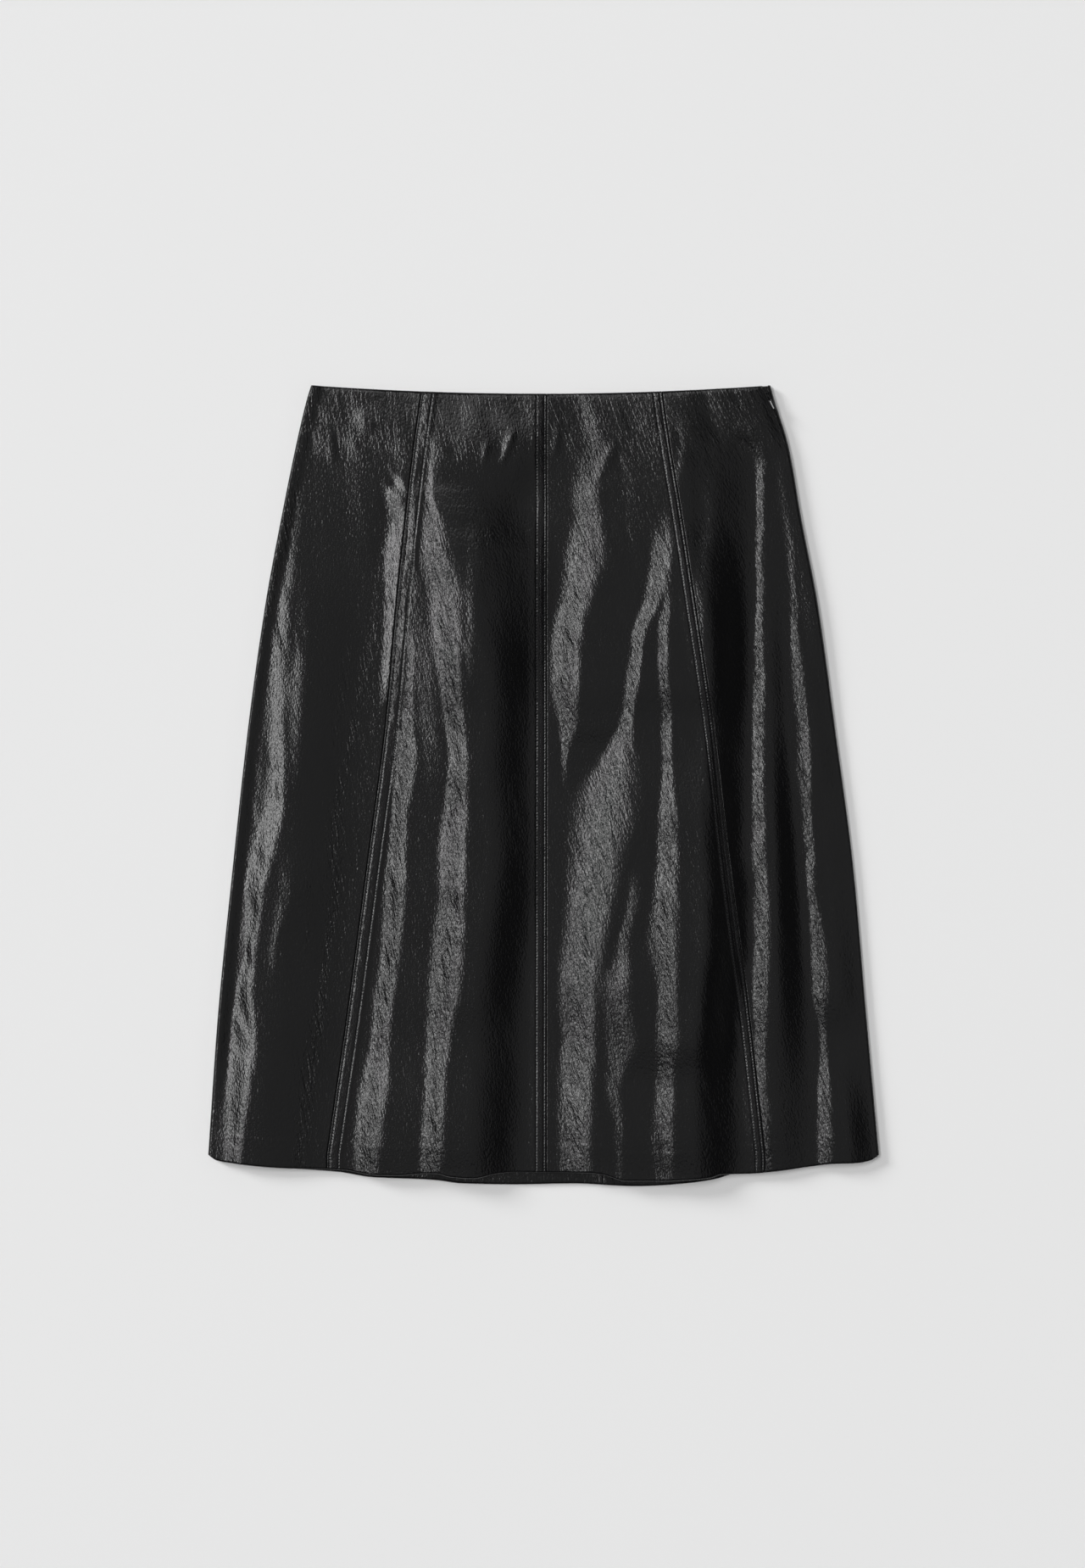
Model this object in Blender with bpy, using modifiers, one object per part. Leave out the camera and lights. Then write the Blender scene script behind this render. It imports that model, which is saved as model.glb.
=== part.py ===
"""A flared, gored skirt of coated cloth, laid flat with its front up.

Four front gores rise in soft flutes towards the hem, and four back gores lie flat beneath them. A concealed
zip closes the right side seam, and its pull tab turns on the bridge of the slider.
Metres; +Z up; the waist is towards +Y, and the skirt rests on Z = 0.
"""
import math
from collections import namedtuple

import bmesh
import bpy
from mathutils import Matrix, Vector

MM = 0.001

# ---------------------------------------------------------------- driving sizes, in millimetres
LENGTH = 661.1          # waist corner to the lowest point of the back hem
WAIST_HALF = 189.5      # mean half width of the waist, laid flat
WAIST_DIP = 6.7         # how far the front waist edge dips at the centre
WALL = 1.2              # one layer of the cloth
GAP = 0.3               # clear space between pieces at a seam
HEM_TURN = 23.0         # height of the turned-up hem
FLANK = 0.5             # half height of the straight flank in the middle of a rolled edge
BAND = 9.5              # width of a topstitched seam allowance
BAND_LIFT = 0.6         # how far the allowance lifts the cloth over it
BAND_STEP = 2.0         # width over which that lift ends
LOW = 2.8               # outer height of the front where it rests on the back
HEM_LOW = 5.2           # the same over the two turned-up hems
HEM_EASE = 14.0         # length over which the front climbs onto the hems
HEM_SEAT = 4.0          # that climb ends this far above the turned-up hem
HEM_STEP = 1.5          # length of the step where the hem's second layer ends

# Side outline and seam lines, as distances from the centre line, at these distances down from the waist.
DOWN = (0, 12, 50, 110, 180, 280, 400, 520, 635)
OUTLINE_LEFT = (-192.0, -195.7, -204.6, -216.8, -229.7, -243.8, -257.0, -269.0, -277.0)
OUTLINE_RIGHT = (187.2, 190.6, 202.2, 212.9, 226.4, 240.3, 256.0, 266.5, 277.0)
FRONT_PRINCESS_LEFT = (-100.1, -101.8, -107.1, -114.1, -121.5, -130.6, -146.3, -162.3, -178.9)
FRONT_CENTRE = (2.6, 2.6, 2.5, 2.5, 2.4, 2.4, 2.3, 2.2, 2.1)
FRONT_PRINCESS_RIGHT = (97.1, 98.6, 104.2, 114.2, 124.8, 139.7, 154.1, 169.8, 182.5)

# The back's seams run straight, from the waist to the hem.
BACK_PRINCESS_LEFT = tuple(-98 - 68 * down / 635 for down in DOWN)
BACK_CENTRE = tuple(2 + 47 * down / 635 for down in DOWN)
BACK_PRINCESS_RIGHT = tuple(97 + 92 * down / 635 for down in DOWN)

# Radius of the rolled side edges, at DOWN. The zip makes the upper right edge thicker.
ROLL_LEFT = (2.2, 2.2, 2.2, 2.2, 2.2, 2.2, 2.2, 2.3, 2.8)
ROLL_RIGHT = (3.2, 3.2, 3.2, 3.2, 3.2, 2.6, 2.4, 2.4, 2.8)
ROLL_MARGIN = 0.8       # the fine columns of a rolled edge start this far inside its bend
ROLL_APPROACH = 6.0     # and the last wide column ends this far inside them
LIP_STEP = 1.0          # shortest run of fine columns on a lip that ends inside the bend
TAPER_START = 3.0       # the hem's second layer is thinned away between these distances from the side edge
TAPER_END = 7.0

# The hem lines: distance across, and distance down from the waist.
HemPoint = namedtuple("HemPoint", "across down")
FRONT_HEM = [HemPoint(*row) for row in (
    (-277, 634.6), (-270, 639.5), (-263, 641.0), (-216, 645.8), (-166, 647.5), (-141, 651.4), (-121, 651.8),
    (-99, 650.2), (-88, 650.1), (-77, 652.8), (-58, 654.0), (-38, 650.3), (-23, 649.3), (13, 649.8),
    (38, 649.8), (50, 651.4), (68, 656.3), (92, 656.3), (126, 654.7), (138, 653.5), (146, 651.1),
    (172, 650.4), (195, 648.1), (219, 644.8), (238, 642.4), (259, 641.6), (270, 639.5), (277, 634.6))]
BACK_HEM = [HemPoint(*row) for row in (
    (-277, 634.6), (-270, 639.5), (-263, 641.0), (-217, 645.8), (-169, 649.3), (-141, 653.7), (-92, 655.7),
    (-67, 658.8), (-23, 659.6), (24, 658.8), (77, 661.1), (117, 658.8), (140, 655.6), (160, 650.0),
    (195, 646.0), (259, 640.4), (270, 638.5), (277, 634.6))]

# The feet and crests of the front's flutes, left to right: where each line runs, as distances from the centre
# line, and its lift over the resting height, at these distances down from the waist.
FOLD_DOWN = (0, 130, 280, 450, 640)
FoldLine = namedtuple("FoldLine", "name across lift")
FOLD_LINES = (
    FoldLine("left_side_foot", (-184, -215, -235, -253, -266), (0.5, 0.3, 0.5, 0.5, 0.5)),
    FoldLine("left_side_crest", (-175, -201, -210, -230, -241), (0.8, 3.0, 5.0, 6.5, 7.5)),
    FoldLine("left_princess_foot", (-148, -141, -133, -147, -168), (0.3, 0.5, 1.0, 1.0, 1.0)),
    FoldLine("left_inner_crest", (-95, -101, -99, -112, -128), (1.0, 3.5, 4.5, 6.0, 7.0)),
    FoldLine("left_inner_dip", (-88, -95, -91, -99, -109), (0.9, 3.2, 4.0, 5.0, 5.5)),
    FoldLine("left_front_crest", (-67, -62, -56, -57, -71), (1.5, 5.5, 8.0, 10.5, 12.0)),
    FoldLine("centre_foot", (-8, -4, -7, -16, -16), (0.5, 1.5, 0.8, 0.3, 0.3)),
    FoldLine("centre_seam_foot", (6, 6, 5, 6, 6), (0.6, 1.5, 0.8, 0.6, 0.5)),
    FoldLine("hip_crest", (52, 49, 31, 21, 13), (2.0, 5.0, 4.5, 2.5, 2.0)),
    FoldLine("hip_foot", (76, 76, 44, 24, 16), (1.8, 3.0, 2.5, 2.7, 2.2)),
    FoldLine("right_inner_crest", (104, 106, 77, 59, 41), (2.0, 5.5, 6.0, 7.0, 8.0)),
    FoldLine("right_inner_dip", (106, 108, 89, 81, 73), (1.9, 5.3, 5.0, 5.8, 6.5)),
    FoldLine("right_front_crest", (109, 111, 117, 117, 119), (2.0, 5.5, 8.0, 11.0, 13.5)),
    FoldLine("right_princess_foot", (119, 122, 154, 159, 154), (1.0, 2.5, 1.0, 0.5, 0.3)),
    FoldLine("right_hip_crest", (132, 143, 159, 163, 159), (1.2, 4.0, 1.2, 0.8, 0.6)),
    FoldLine("right_outer_foot", (160, 168, 166, 167, 163), (1.0, 2.0, 1.2, 1.0, 0.8)),
    FoldLine("right_outer_crest", (172, 188, 189, 193, 185), (3.0, 3.5, 5.0, 6.5, 7.5)),
    FoldLine("right_side_dip", (175, 192, 201, 213, 216), (3.1, 3.4, 3.8, 4.2, 4.5)),
    FoldLine("right_side_crest", (180, 209, 224, 240, 246), (3.6, 3.7, 6.0, 8.5, 9.5)))

# The zip line in the right side seam: how far round the rolled edge it lies from the outermost line, at these
# distances down, and how far the two lips part for the slider there.
ZIP_DOWN = (0, 5, 8, 12, 15, 22, 36, 50, 80, 105, 130, 645)
ZIP_ALONG = (5.7, 6.1, 6.4, 6.6, 6.3, 5.2, 4.7, 4.0, 2.6, 1.2, 0.0, 0.0)
LIP_FRONT = (3.4, 2.0, 0.95, 0.95, 0.3, 0.2, 0.2, 0.2, 0.2, 0.2, 0.15, 0.15)
LIP_BACK = (1.8, 1.2, 0.95, 0.95, 0.3, 0.2, 0.2, 0.2, 0.2, 0.2, 0.15, 0.15)
ZIP_END = 192.0         # how far down the coil ends
ZIP_LOW = 2.8           # underside of the coil and the slider
ZIP_HIGH = 4.9          # upper side of the coil and the slider
COIL_WIDTH = 2.4
COIL_INSET = 4.4        # least distance from the side edge to the middle of the coil
COIL_TOP = 15.6         # how far down the coil starts, just under the slider
TAPE_WALL = 1.0
TAPE_WIDTH = 8.5
TAPE_TOP = 6.0          # how far down the tapes start
TAPE_INSET = 3.8        # from the side edge to the back tape
TAPE_OFFSET = 1.7       # from the middle of the coil to the front tape
TAPE_CLEAR = 0.54       # between the front tape and the cloth over it, which is curved
SLIDER_ROOM = 2.2       # how much further in the front tape lies beside the slider
ROOM_START = 15.0       # that room closes between these distances down
ROOM_END = 22.0

# The slider and its pull tab stand at this place on the zip line, turned with it.
HINGE_DOWN = 10.2
ZIP_TURN = math.radians(26)
HINGE_HEIGHT = 7.15
BRIDGE_RADIUS = 1.3     # from the pull's pin to the middle of the bridge's wire
BRIDGE_WIRE = 0.4       # radius of that wire
BRIDGE_SINK = 0.6       # how deep its feet stand in the slider
BRIDGE_STEPS = 10       # straight pieces of its half circle
SLIDER_WIDTH = 4.2
SLIDER_LENGTH = 7.0
SLIDER_EDGE = 0.5       # rounding of its edges
SLIDER_SHIFT = 0.5      # the slider's body lies this much further in than the lips
PULL_LENGTH = 11.8
PULL_WIDTH = 4.0
PULL_NECK = 2.4         # width at the eye
PULL_WALL = 0.8
EYE_WIDTH = 1.4
EYE_LENGTH = 1.9
NECK_STEPS = 8          # straight pieces of the pull's two round ends
TAIL_STEPS = 12
WELD = 0.00001          # points closer than this, in metres, are one

# Where the rows of a panel lie, as parts of its length: closer at the zip and at the turned-up hem.
ZIP_ROWS = 20
ROWS_PLAIN = [0, 0.012] + [0.05 + 0.0561 * step for step in range(16)] + [0.948, 0.9605, 0.9655, 0.985, 1]
ROWS_ZIP = [0, 0.0045, 0.008, 0.0125, 0.0185, 0.0235, 0.034, 0.056, 0.08, 0.104, 0.128, 0.152, 0.176] + \
    [0.2 + 0.055 * step for step in range(13)] + [0.905, 0.948, 0.9605, 0.9655, 0.985, 1]
ROWS_BACK = [0, 0.012] + [0.08 + 0.085 * step for step in range(10)] + [0.91, 0.948, 0.9605, 0.9655, 1]


# ---------------------------------------------------------------- curves through the tables
def smooth_at(places, values, place):
    """The value at a place, on a curve through the table's points that never swings past them."""
    if place <= places[0]:
        return values[0]
    if place >= places[-1]:
        return values[-1]
    index = next(i for i in range(len(places) - 1) if place <= places[i + 1])

    def slope(i):
        if i in (0, len(places) - 1):
            return chord(max(i - 1, 0))
        before, after = chord(i - 1), chord(i)
        if before * after <= 0:
            return 0.0
        return 2 * before * after / (before + after)

    def chord(i):
        return (values[i + 1] - values[i]) / (places[i + 1] - places[i])

    width = places[index + 1] - places[index]
    t = (place - places[index]) / width
    start, end = slope(index) * width, slope(index + 1) * width
    rise = values[index + 1] - values[index]
    return values[index] + start * t + (3 * rise - 2 * start - end) * t ** 2 + (start + end - 2 * rise) * t ** 3


def ease(low, high, place):
    """0 below low, 1 above high, and a soft step between."""
    t = min(max((place - low) / (high - low), 0), 1)
    return t * t * (3 - 2 * t)


def waist_at(across):
    return WAIST_DIP * max(0, 1 - (across / WAIST_HALF) ** 2)


def hem_at(hem, across):
    return smooth_at([point.across for point in hem], [point.down for point in hem], across)


def down_at(hem, across, part):
    """Distance down from the waist corner, at a part of the panel's length."""
    return waist_at(across) * (1 - part) + hem_at(hem, across) * part


def line_at(line, hem, part):
    """Where a seam line or outline is at a part of the panel's length: across and down."""
    across = line[4]
    for _ in range(4):
        across = smooth_at(DOWN, line, down_at(hem, across, part))
    return across, down_at(hem, across, part)


# ---------------------------------------------------------------- the form of the front
def low_at(across, down):
    return LOW + (HEM_LOW - LOW) * ease(-HEM_EASE, 0, down + HEM_TURN + HEM_SEAT - hem_at(FRONT_HEM, across))


def hem_layer(hem, across, down):
    """Thickness that the turned-up hem adds: 0 above it and one wall on it."""
    return WALL * ease(-HEM_STEP, 0, down + HEM_TURN - hem_at(hem, across))


def front_height(across, down):
    """Outer height of the front over the ground."""
    roll_left = smooth_at(DOWN, ROLL_LEFT, down)
    roll_right = smooth_at(DOWN, ROLL_RIGHT, down)
    low = low_at(across, down)
    nodes = [(smooth_at(DOWN, OUTLINE_LEFT, down) + roll_left, 2 * roll_left)]
    nodes += [(smooth_at(FOLD_DOWN, fold.across, down), low + smooth_at(FOLD_DOWN, fold.lift, down))
              for fold in FOLD_LINES]
    nodes.append((smooth_at(DOWN, OUTLINE_RIGHT, down) - roll_right, 2 * roll_right))
    if across <= nodes[0][0]:
        return nodes[0][1]
    for (left, left_height), (right, right_height) in zip(nodes, nodes[1:]):
        if across <= right:
            return left_height + (right_height - left_height) * ease(left, right, across)
    return nodes[-1][1]


def quarter_of(roll):
    """Length of a rolled edge from its outermost line to where it lies flat."""
    return FLANK + (roll - FLANK) * math.pi / 2


def edge_point(along, roll, depth=0.0):
    """Inset and height on a rolled edge, at a distance along it from its outermost line, upwards positive.

    depth is how far under the outer face the point lies.
    """
    bend = roll - FLANK
    angle = min(max(abs(along) - FLANK, 0) / bend, math.pi / 2)
    height = min(abs(along), FLANK) + (bend - depth) * math.sin(angle)
    inset = bend - (bend - depth) * math.cos(angle) + max(0, abs(along) - quarter_of(roll))
    return inset, roll + math.copysign(height, along)


def zip_inset(down):
    return edge_point(smooth_at(ZIP_DOWN, ZIP_ALONG, down), smooth_at(DOWN, ROLL_RIGHT, down))[0]


def world(across, down, height):
    return Vector((across * MM, (LENGTH / 2 - down) * MM, height * MM))


# ---------------------------------------------------------------- building blocks
def new_collection(name):
    collection = bpy.data.collections.new(name)
    bpy.context.scene.collection.children.link(collection)
    return collection


def new_material(name, color, roughness, metallic=0.0):
    material = bpy.data.materials.new(name)
    material.use_nodes = True
    shader = material.node_tree.nodes["Principled BSDF"]
    shader.inputs["Base Color"].default_value = (*color, 1)
    shader.inputs["Roughness"].default_value = roughness
    shader.inputs["Metallic"].default_value = metallic
    return material


def add_object(name, mesh, collection, material):
    piece = bpy.data.objects.new(name, mesh)
    collection.objects.link(piece)
    mesh.materials.append(material)
    return piece


def add_panel(name, rows, columns, place, collection, material):
    """A closed wall from a grid: place(column, part) gives each point of its outer face and of its inner face."""
    bm = bmesh.new()
    bmesh.ops.create_grid(bm, x_segments=columns, y_segments=len(rows) - 1, size=1)
    outer = set(bm.verts)
    bmesh.ops.extrude_face_region(bm, geom=bm.faces[:], use_keep_orig=True)
    for vert in bm.verts:
        column = round((vert.co.x + 1) / 2 * columns)
        row = round((1 - vert.co.y) / 2 * (len(rows) - 1))
        vert.co = place(column, rows[row])[0 if vert in outer else 1]
    bmesh.ops.recalc_face_normals(bm, faces=bm.faces)
    mesh = bpy.data.meshes.new(name)
    bm.to_mesh(mesh)
    bm.free()
    mesh.shade_smooth()
    mesh.set_sharp_from_angle(angle=math.radians(50))
    return add_object(name, mesh, collection, material)


def spread(column, columns, width, left_steps, right_steps):
    """Distance from a panel's left edge of one of its columns: fixed steps at its edges, even ones between."""
    if column < len(left_steps):
        return left_steps[column]
    if columns - column < len(right_steps):
        return width - right_steps[columns - column]
    first, last = left_steps[-1], width - right_steps[-1]
    inner = columns - len(left_steps) - len(right_steps) + 2
    return first + (last - first) * (column - len(left_steps) + 1) / inner


# ---------------------------------------------------------------- the gores
def front_faces(across, down, banded_edges=()):
    """Outer and inner point of the front away from its side edges."""
    band = 0
    for edge in banded_edges:
        band = max(band, 1 - ease(BAND, BAND + BAND_STEP, abs(across - edge)))
    height = front_height(across, down) + BAND_LIFT * band
    wall = WALL + max(hem_layer(FRONT_HEM, across, down), BAND_LIFT * band)
    return world(across, down, height), world(across, down, height - wall)


def add_front_centre(name, left, right, bands, columns, collection, material):
    left_steps = (0, BAND, BAND + BAND_STEP) if "left" in bands else (0,)
    right_steps = (0, BAND, BAND + BAND_STEP) if "right" in bands else (0,)

    def place(column, part):
        start = line_at(left, FRONT_HEM, part)[0] + GAP / 2
        end = line_at(right, FRONT_HEM, part)[0] - GAP / 2
        across = start + spread(column, columns, end - start, left_steps, right_steps)
        banded = [edge for side, edge in (("left", start), ("right", end)) if side in bands]
        return front_faces(across, down_at(FRONT_HEM, across, part), banded)

    return add_panel(name, ROWS_PLAIN, columns, place, collection, material)


def rolled_along(step, rolled, rim, roll, face):
    """The distance along a rolled edge of one of its columns, from step 0 well inside to the rim."""
    near = rim + face * FLANK
    far = face * (quarter_of(roll) + ROLL_MARGIN)
    if face > 0:
        far = max(far, near + LIP_STEP)
    if step == 0:
        return face * (abs(far) + ROLL_APPROACH)
    if step == rolled:
        return rim
    return far + (near - far) * (step - 1) / (rolled - 2)


def side_place(hem, seam, outline, roll_table, lips, sign, face, columns, rolled):
    """A placing function for a side gore, whose outer columns follow the rolled edge.

    sign is 1 at the right and -1 at the left; face is 1 on the front and -1 on the back. Columns run from
    the seam to the outline on the right front, and the other way round where that turns the face outwards.
    """
    seam_first = sign * face > 0
    flat_steps = columns - rolled

    def place(column, part):
        step = column if seam_first else columns - column
        edge, down = line_at(outline, hem, part)
        roll = smooth_at(DOWN, roll_table, down)
        start = line_at(seam, hem, part)[0] + sign * GAP / 2
        opening = GAP / 2
        rim = 0.0
        if lips:
            rim = smooth_at(ZIP_DOWN, ZIP_ALONG, down)
            opening = smooth_at(ZIP_DOWN, LIP_FRONT if face > 0 else LIP_BACK, down)
        along = rolled_along(max(step - flat_steps, 0), rolled, rim + face * opening, roll, face)
        inset, height = edge_point(along, roll)
        across = edge - sign * inset
        if step < flat_steps:
            across = start + (across - start) * step / flat_steps
        down = down_at(hem, across, part)
        if inset < roll or along * face < 0:
            inner_inset, inner_height = edge_point(along, roll, WALL)
            return world(across, down, height), world(edge - sign * inner_inset, down, inner_height)
        wall = WALL + hem_layer(hem, across, down) * ease(TAPER_START, TAPER_END, abs(edge - across))
        if face > 0:
            height = front_height(across, down)
        return world(across, down, height), world(across, down, height - face * wall)

    return place


def add_back_centre(name, left, right, columns, collection, material):
    def place(column, part):
        start = line_at(left, BACK_HEM, part)[0] + GAP / 2
        end = line_at(right, BACK_HEM, part)[0] - GAP / 2
        across = end + (start - end) * column / columns
        down = down_at(BACK_HEM, across, part)
        return world(across, down, 0), world(across, down, WALL + hem_layer(BACK_HEM, across, down))

    return add_panel(name, ROWS_BACK, columns, place, collection, material)


def add_gores(collection, cloth):
    centres = (
        ("front_centre_left", FRONT_PRINCESS_LEFT, FRONT_CENTRE, ("left", "right"), 16),
        ("front_centre_right", FRONT_CENTRE, FRONT_PRINCESS_RIGHT, ("right",), 15))
    for name, left, right, bands, columns in centres:
        add_front_centre(name, left, right, bands, columns, collection, cloth)
    backs = (
        ("back_centre_left", BACK_PRINCESS_LEFT, BACK_CENTRE, 6),
        ("back_centre_right", BACK_CENTRE, BACK_PRINCESS_RIGHT, 6))
    for name, left, right, columns in backs:
        add_back_centre(name, left, right, columns, collection, cloth)
    sides = (
        ("front_side_left", FRONT_HEM, FRONT_PRINCESS_LEFT, OUTLINE_LEFT, ROLL_LEFT, False, -1, 1, 15, 6),
        ("front_side_right", FRONT_HEM, FRONT_PRINCESS_RIGHT, OUTLINE_RIGHT, ROLL_RIGHT, True, 1, 1, 15, 6),
        ("back_side_left", BACK_HEM, BACK_PRINCESS_LEFT, OUTLINE_LEFT, ROLL_LEFT, False, -1, -1, 10, 6),
        ("back_side_right", BACK_HEM, BACK_PRINCESS_RIGHT, OUTLINE_RIGHT, ROLL_RIGHT, True, 1, -1, 12, 9))
    for name, hem, seam, outline, rolls, lips, sign, face, columns, rolled in sides:
        place = side_place(hem, seam, outline, rolls, lips, sign, face, columns, rolled)
        add_panel(name, ROWS_ZIP if lips else ROWS_PLAIN, columns, place, collection, cloth)


# ---------------------------------------------------------------- the zip
def zip_place(span, top, wall, columns, start, end):
    """A placing function for a strip that runs down the zip, between the two insets that span(down) gives."""
    def place(column, part):
        down = start + (end - start) * part
        outer, inner = span(down)
        across = smooth_at(DOWN, OUTLINE_RIGHT, down) - inner + (inner - outer) * column / columns
        height = top(across, down)
        return world(across, down, height), world(across, down, height - wall)

    return place


def coil_inset(down):
    return max(zip_inset(down), COIL_INSET)


def coil_span(down):
    return coil_inset(down) - COIL_WIDTH / 2, coil_inset(down) + COIL_WIDTH / 2


def front_tape_span(down):
    outer = coil_inset(down) + TAPE_OFFSET + SLIDER_ROOM * (1 - ease(ROOM_START, ROOM_END, down))
    return outer, outer + TAPE_WIDTH


def back_tape_span(_down):
    return TAPE_INSET, TAPE_INSET + TAPE_WIDTH


def under_front(across, down):
    return front_height(across, down) - WALL - TAPE_CLEAR


def over_back(_across, _down):
    return WALL + GAP + TAPE_WALL


def coil_top(_across, _down):
    return ZIP_HIGH


def add_zip(collection, tape, coil):
    rows = [step / ZIP_ROWS for step in range(ZIP_ROWS + 1)]
    strips = (("zip_tape_front", front_tape_span, under_front, TAPE_WALL, 4, TAPE_TOP, tape),
              ("zip_tape_back", back_tape_span, over_back, TAPE_WALL, 2, TAPE_TOP, tape),
              ("zip_coil", coil_span, coil_top, ZIP_HIGH - ZIP_LOW, 2, COIL_TOP, coil))
    for name, span, top, wall, columns, start, material in strips:
        place = zip_place(span, top, wall, columns, start, ZIP_END)
        add_panel(name, rows, columns, place, collection, material)


def hinge_place():
    """The hinge of the pull: its point, the direction down the zip, and the hinge's axis."""
    across = smooth_at(DOWN, OUTLINE_RIGHT, HINGE_DOWN) - zip_inset(HINGE_DOWN)
    point = world(across, HINGE_DOWN, HINGE_HEIGHT)
    along = Vector((math.sin(ZIP_TURN), -math.cos(ZIP_TURN), 0))
    return point, along, along.cross(Vector((0, 0, 1)))


def hinge_matrix():
    """The hinge's frame: X down the zip, Y against the hinge's axis, Z up."""
    point, along, axis = hinge_place()
    turn = Matrix((along, -axis, Vector((0, 0, 1)))).transposed()
    return Matrix.Translation(point) @ turn.to_4x4()


def add_slider(collection, cutters, metal):
    """The slider's body between the tapes, with a wire bridge that stands out between the lips."""
    bpy.ops.mesh.primitive_cube_add(size=1)
    body = bpy.context.object
    body.name = "zip_slider"
    body.data.name = "zip_slider"
    body.data.transform(Matrix.Diagonal((SLIDER_LENGTH * MM, SLIDER_WIDTH * MM, (ZIP_HIGH - ZIP_LOW) * MM, 1)))
    body.data.materials.append(metal)
    middle = (ZIP_LOW + ZIP_HIGH) / 2 - HINGE_HEIGHT
    body.matrix_world = hinge_matrix() @ Matrix.Translation((0, -SLIDER_SHIFT * MM, middle * MM))
    for owner in list(body.users_collection):
        owner.objects.unlink(body)
    collection.objects.link(body)
    bevel = body.modifiers.new("edges", "BEVEL")
    bevel.width = SLIDER_EDGE * MM
    bevel.segments = 2

    curve = bpy.data.curves.new("bridge", "CURVE")
    curve.dimensions = "3D"
    curve.bevel_depth = BRIDGE_WIRE * MM
    curve.bevel_resolution = 2
    curve.use_fill_caps = True
    foot = ZIP_HIGH - BRIDGE_SINK - HINGE_HEIGHT
    route = [(BRIDGE_RADIUS, foot)]
    for step in range(BRIDGE_STEPS + 1):
        angle = math.pi * step / BRIDGE_STEPS
        route.append((BRIDGE_RADIUS * math.cos(angle), BRIDGE_RADIUS * math.sin(angle)))
    route.append((-BRIDGE_RADIUS, foot))
    spline = curve.splines.new("POLY")
    spline.points.add(len(route) - 1)
    for point, (x, z) in zip(spline.points, route):
        point.co = (x * MM, 0, z * MM, 1)
    wire = bpy.data.objects.new("bridge", curve)
    cutters.objects.link(wire)
    bpy.context.view_layer.update()
    mesh = bpy.data.meshes.new_from_object(wire.evaluated_get(bpy.context.evaluated_depsgraph_get()))
    bm = bmesh.new()
    bm.from_mesh(mesh)
    bmesh.ops.remove_doubles(bm, verts=bm.verts, dist=WELD)
    bm.to_mesh(mesh)
    bm.free()
    bpy.data.objects.remove(wire)
    bridge = bpy.data.objects.new("zip_bridge", mesh)
    cutters.objects.link(bridge)
    bridge.matrix_world = hinge_matrix()
    bridge.hide_render = True
    bridge.display_type = "WIRE"
    join = body.modifiers.new("bridge", "BOOLEAN")
    join.operation = "UNION"
    join.object = bridge
    join.solver = "EXACT"


def pull_outline():
    """The teardrop: a narrow round end at the eye, straight flanks, and a wide round end."""
    neck, wide = PULL_NECK / 2, PULL_WIDTH / 2
    top = neck - PULL_WALL / 2
    centre = PULL_LENGTH - wide
    lean = math.asin((wide - neck) / (centre - top))
    points = []
    for step in range(NECK_STEPS + 1):
        angle = math.pi / 2 + lean + (math.pi - 2 * lean) * step / NECK_STEPS
        points.append((top + neck * math.cos(angle), neck * math.sin(angle)))
    for step in range(TAIL_STEPS + 1):
        angle = -math.pi / 2 - lean + (math.pi + 2 * lean) * step / TAIL_STEPS
        points.append((centre + wide * math.cos(angle), wide * math.sin(angle)))
    return points


def add_pull(collection, metal):
    """The teardrop tab, with an eye whose bar is the hinge's pin."""
    eye_start = PULL_WALL / 2
    eye = [(eye_start, -EYE_WIDTH / 2), (eye_start, EYE_WIDTH / 2),
           (eye_start + EYE_LENGTH, EYE_WIDTH / 2), (eye_start + EYE_LENGTH, -EYE_WIDTH / 2)]
    curve = bpy.data.curves.new("pull", "CURVE")
    curve.dimensions = "2D"
    curve.fill_mode = "BOTH"
    curve.extrude = PULL_WALL / 2 * MM
    for outline in (pull_outline(), eye):
        spline = curve.splines.new("POLY")
        spline.points.add(len(outline) - 1)
        spline.use_cyclic_u = True
        for point, (x, y) in zip(spline.points, outline):
            point.co = (x * MM, y * MM, 0, 1)
    flat = bpy.data.objects.new("pull", curve)
    collection.objects.link(flat)
    bpy.context.view_layer.update()
    mesh = bpy.data.meshes.new_from_object(flat.evaluated_get(bpy.context.evaluated_depsgraph_get()))
    bpy.data.objects.remove(flat)
    bm = bmesh.new()
    bm.from_mesh(mesh)
    bmesh.ops.remove_doubles(bm, verts=bm.verts, dist=WELD)
    bmesh.ops.recalc_face_normals(bm, faces=bm.faces)
    bm.to_mesh(mesh)
    bm.free()
    mesh.name = "zip_pull"
    mesh.materials.clear()
    pull = add_object("zip_pull", mesh, collection, metal)
    pivot = bpy.data.objects.new("pull_hinge", None)
    collection.objects.link(pivot)
    pivot.matrix_world = hinge_matrix()
    pull.parent = pivot


def main():
    for leftover in list(bpy.data.objects):
        bpy.data.objects.remove(leftover)
    parts = new_collection("flared_skirt")
    cutters = new_collection("cutters")
    cloth = new_material("coated_cloth", (0.012, 0.012, 0.013), 0.4)
    tape = new_material("zip_tape", (0.015, 0.015, 0.016), 0.9)
    coil = new_material("zip_coil", (0.02, 0.02, 0.022), 0.45)
    metal = new_material("zip_metal", (0.03, 0.03, 0.032), 0.15)
    add_gores(parts, cloth)
    add_zip(parts, tape, coil)
    add_slider(parts, cutters, metal)
    add_pull(parts, metal)


main()
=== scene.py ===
import math
import bpy
import numpy as np
from mathutils import Matrix, Vector

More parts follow.
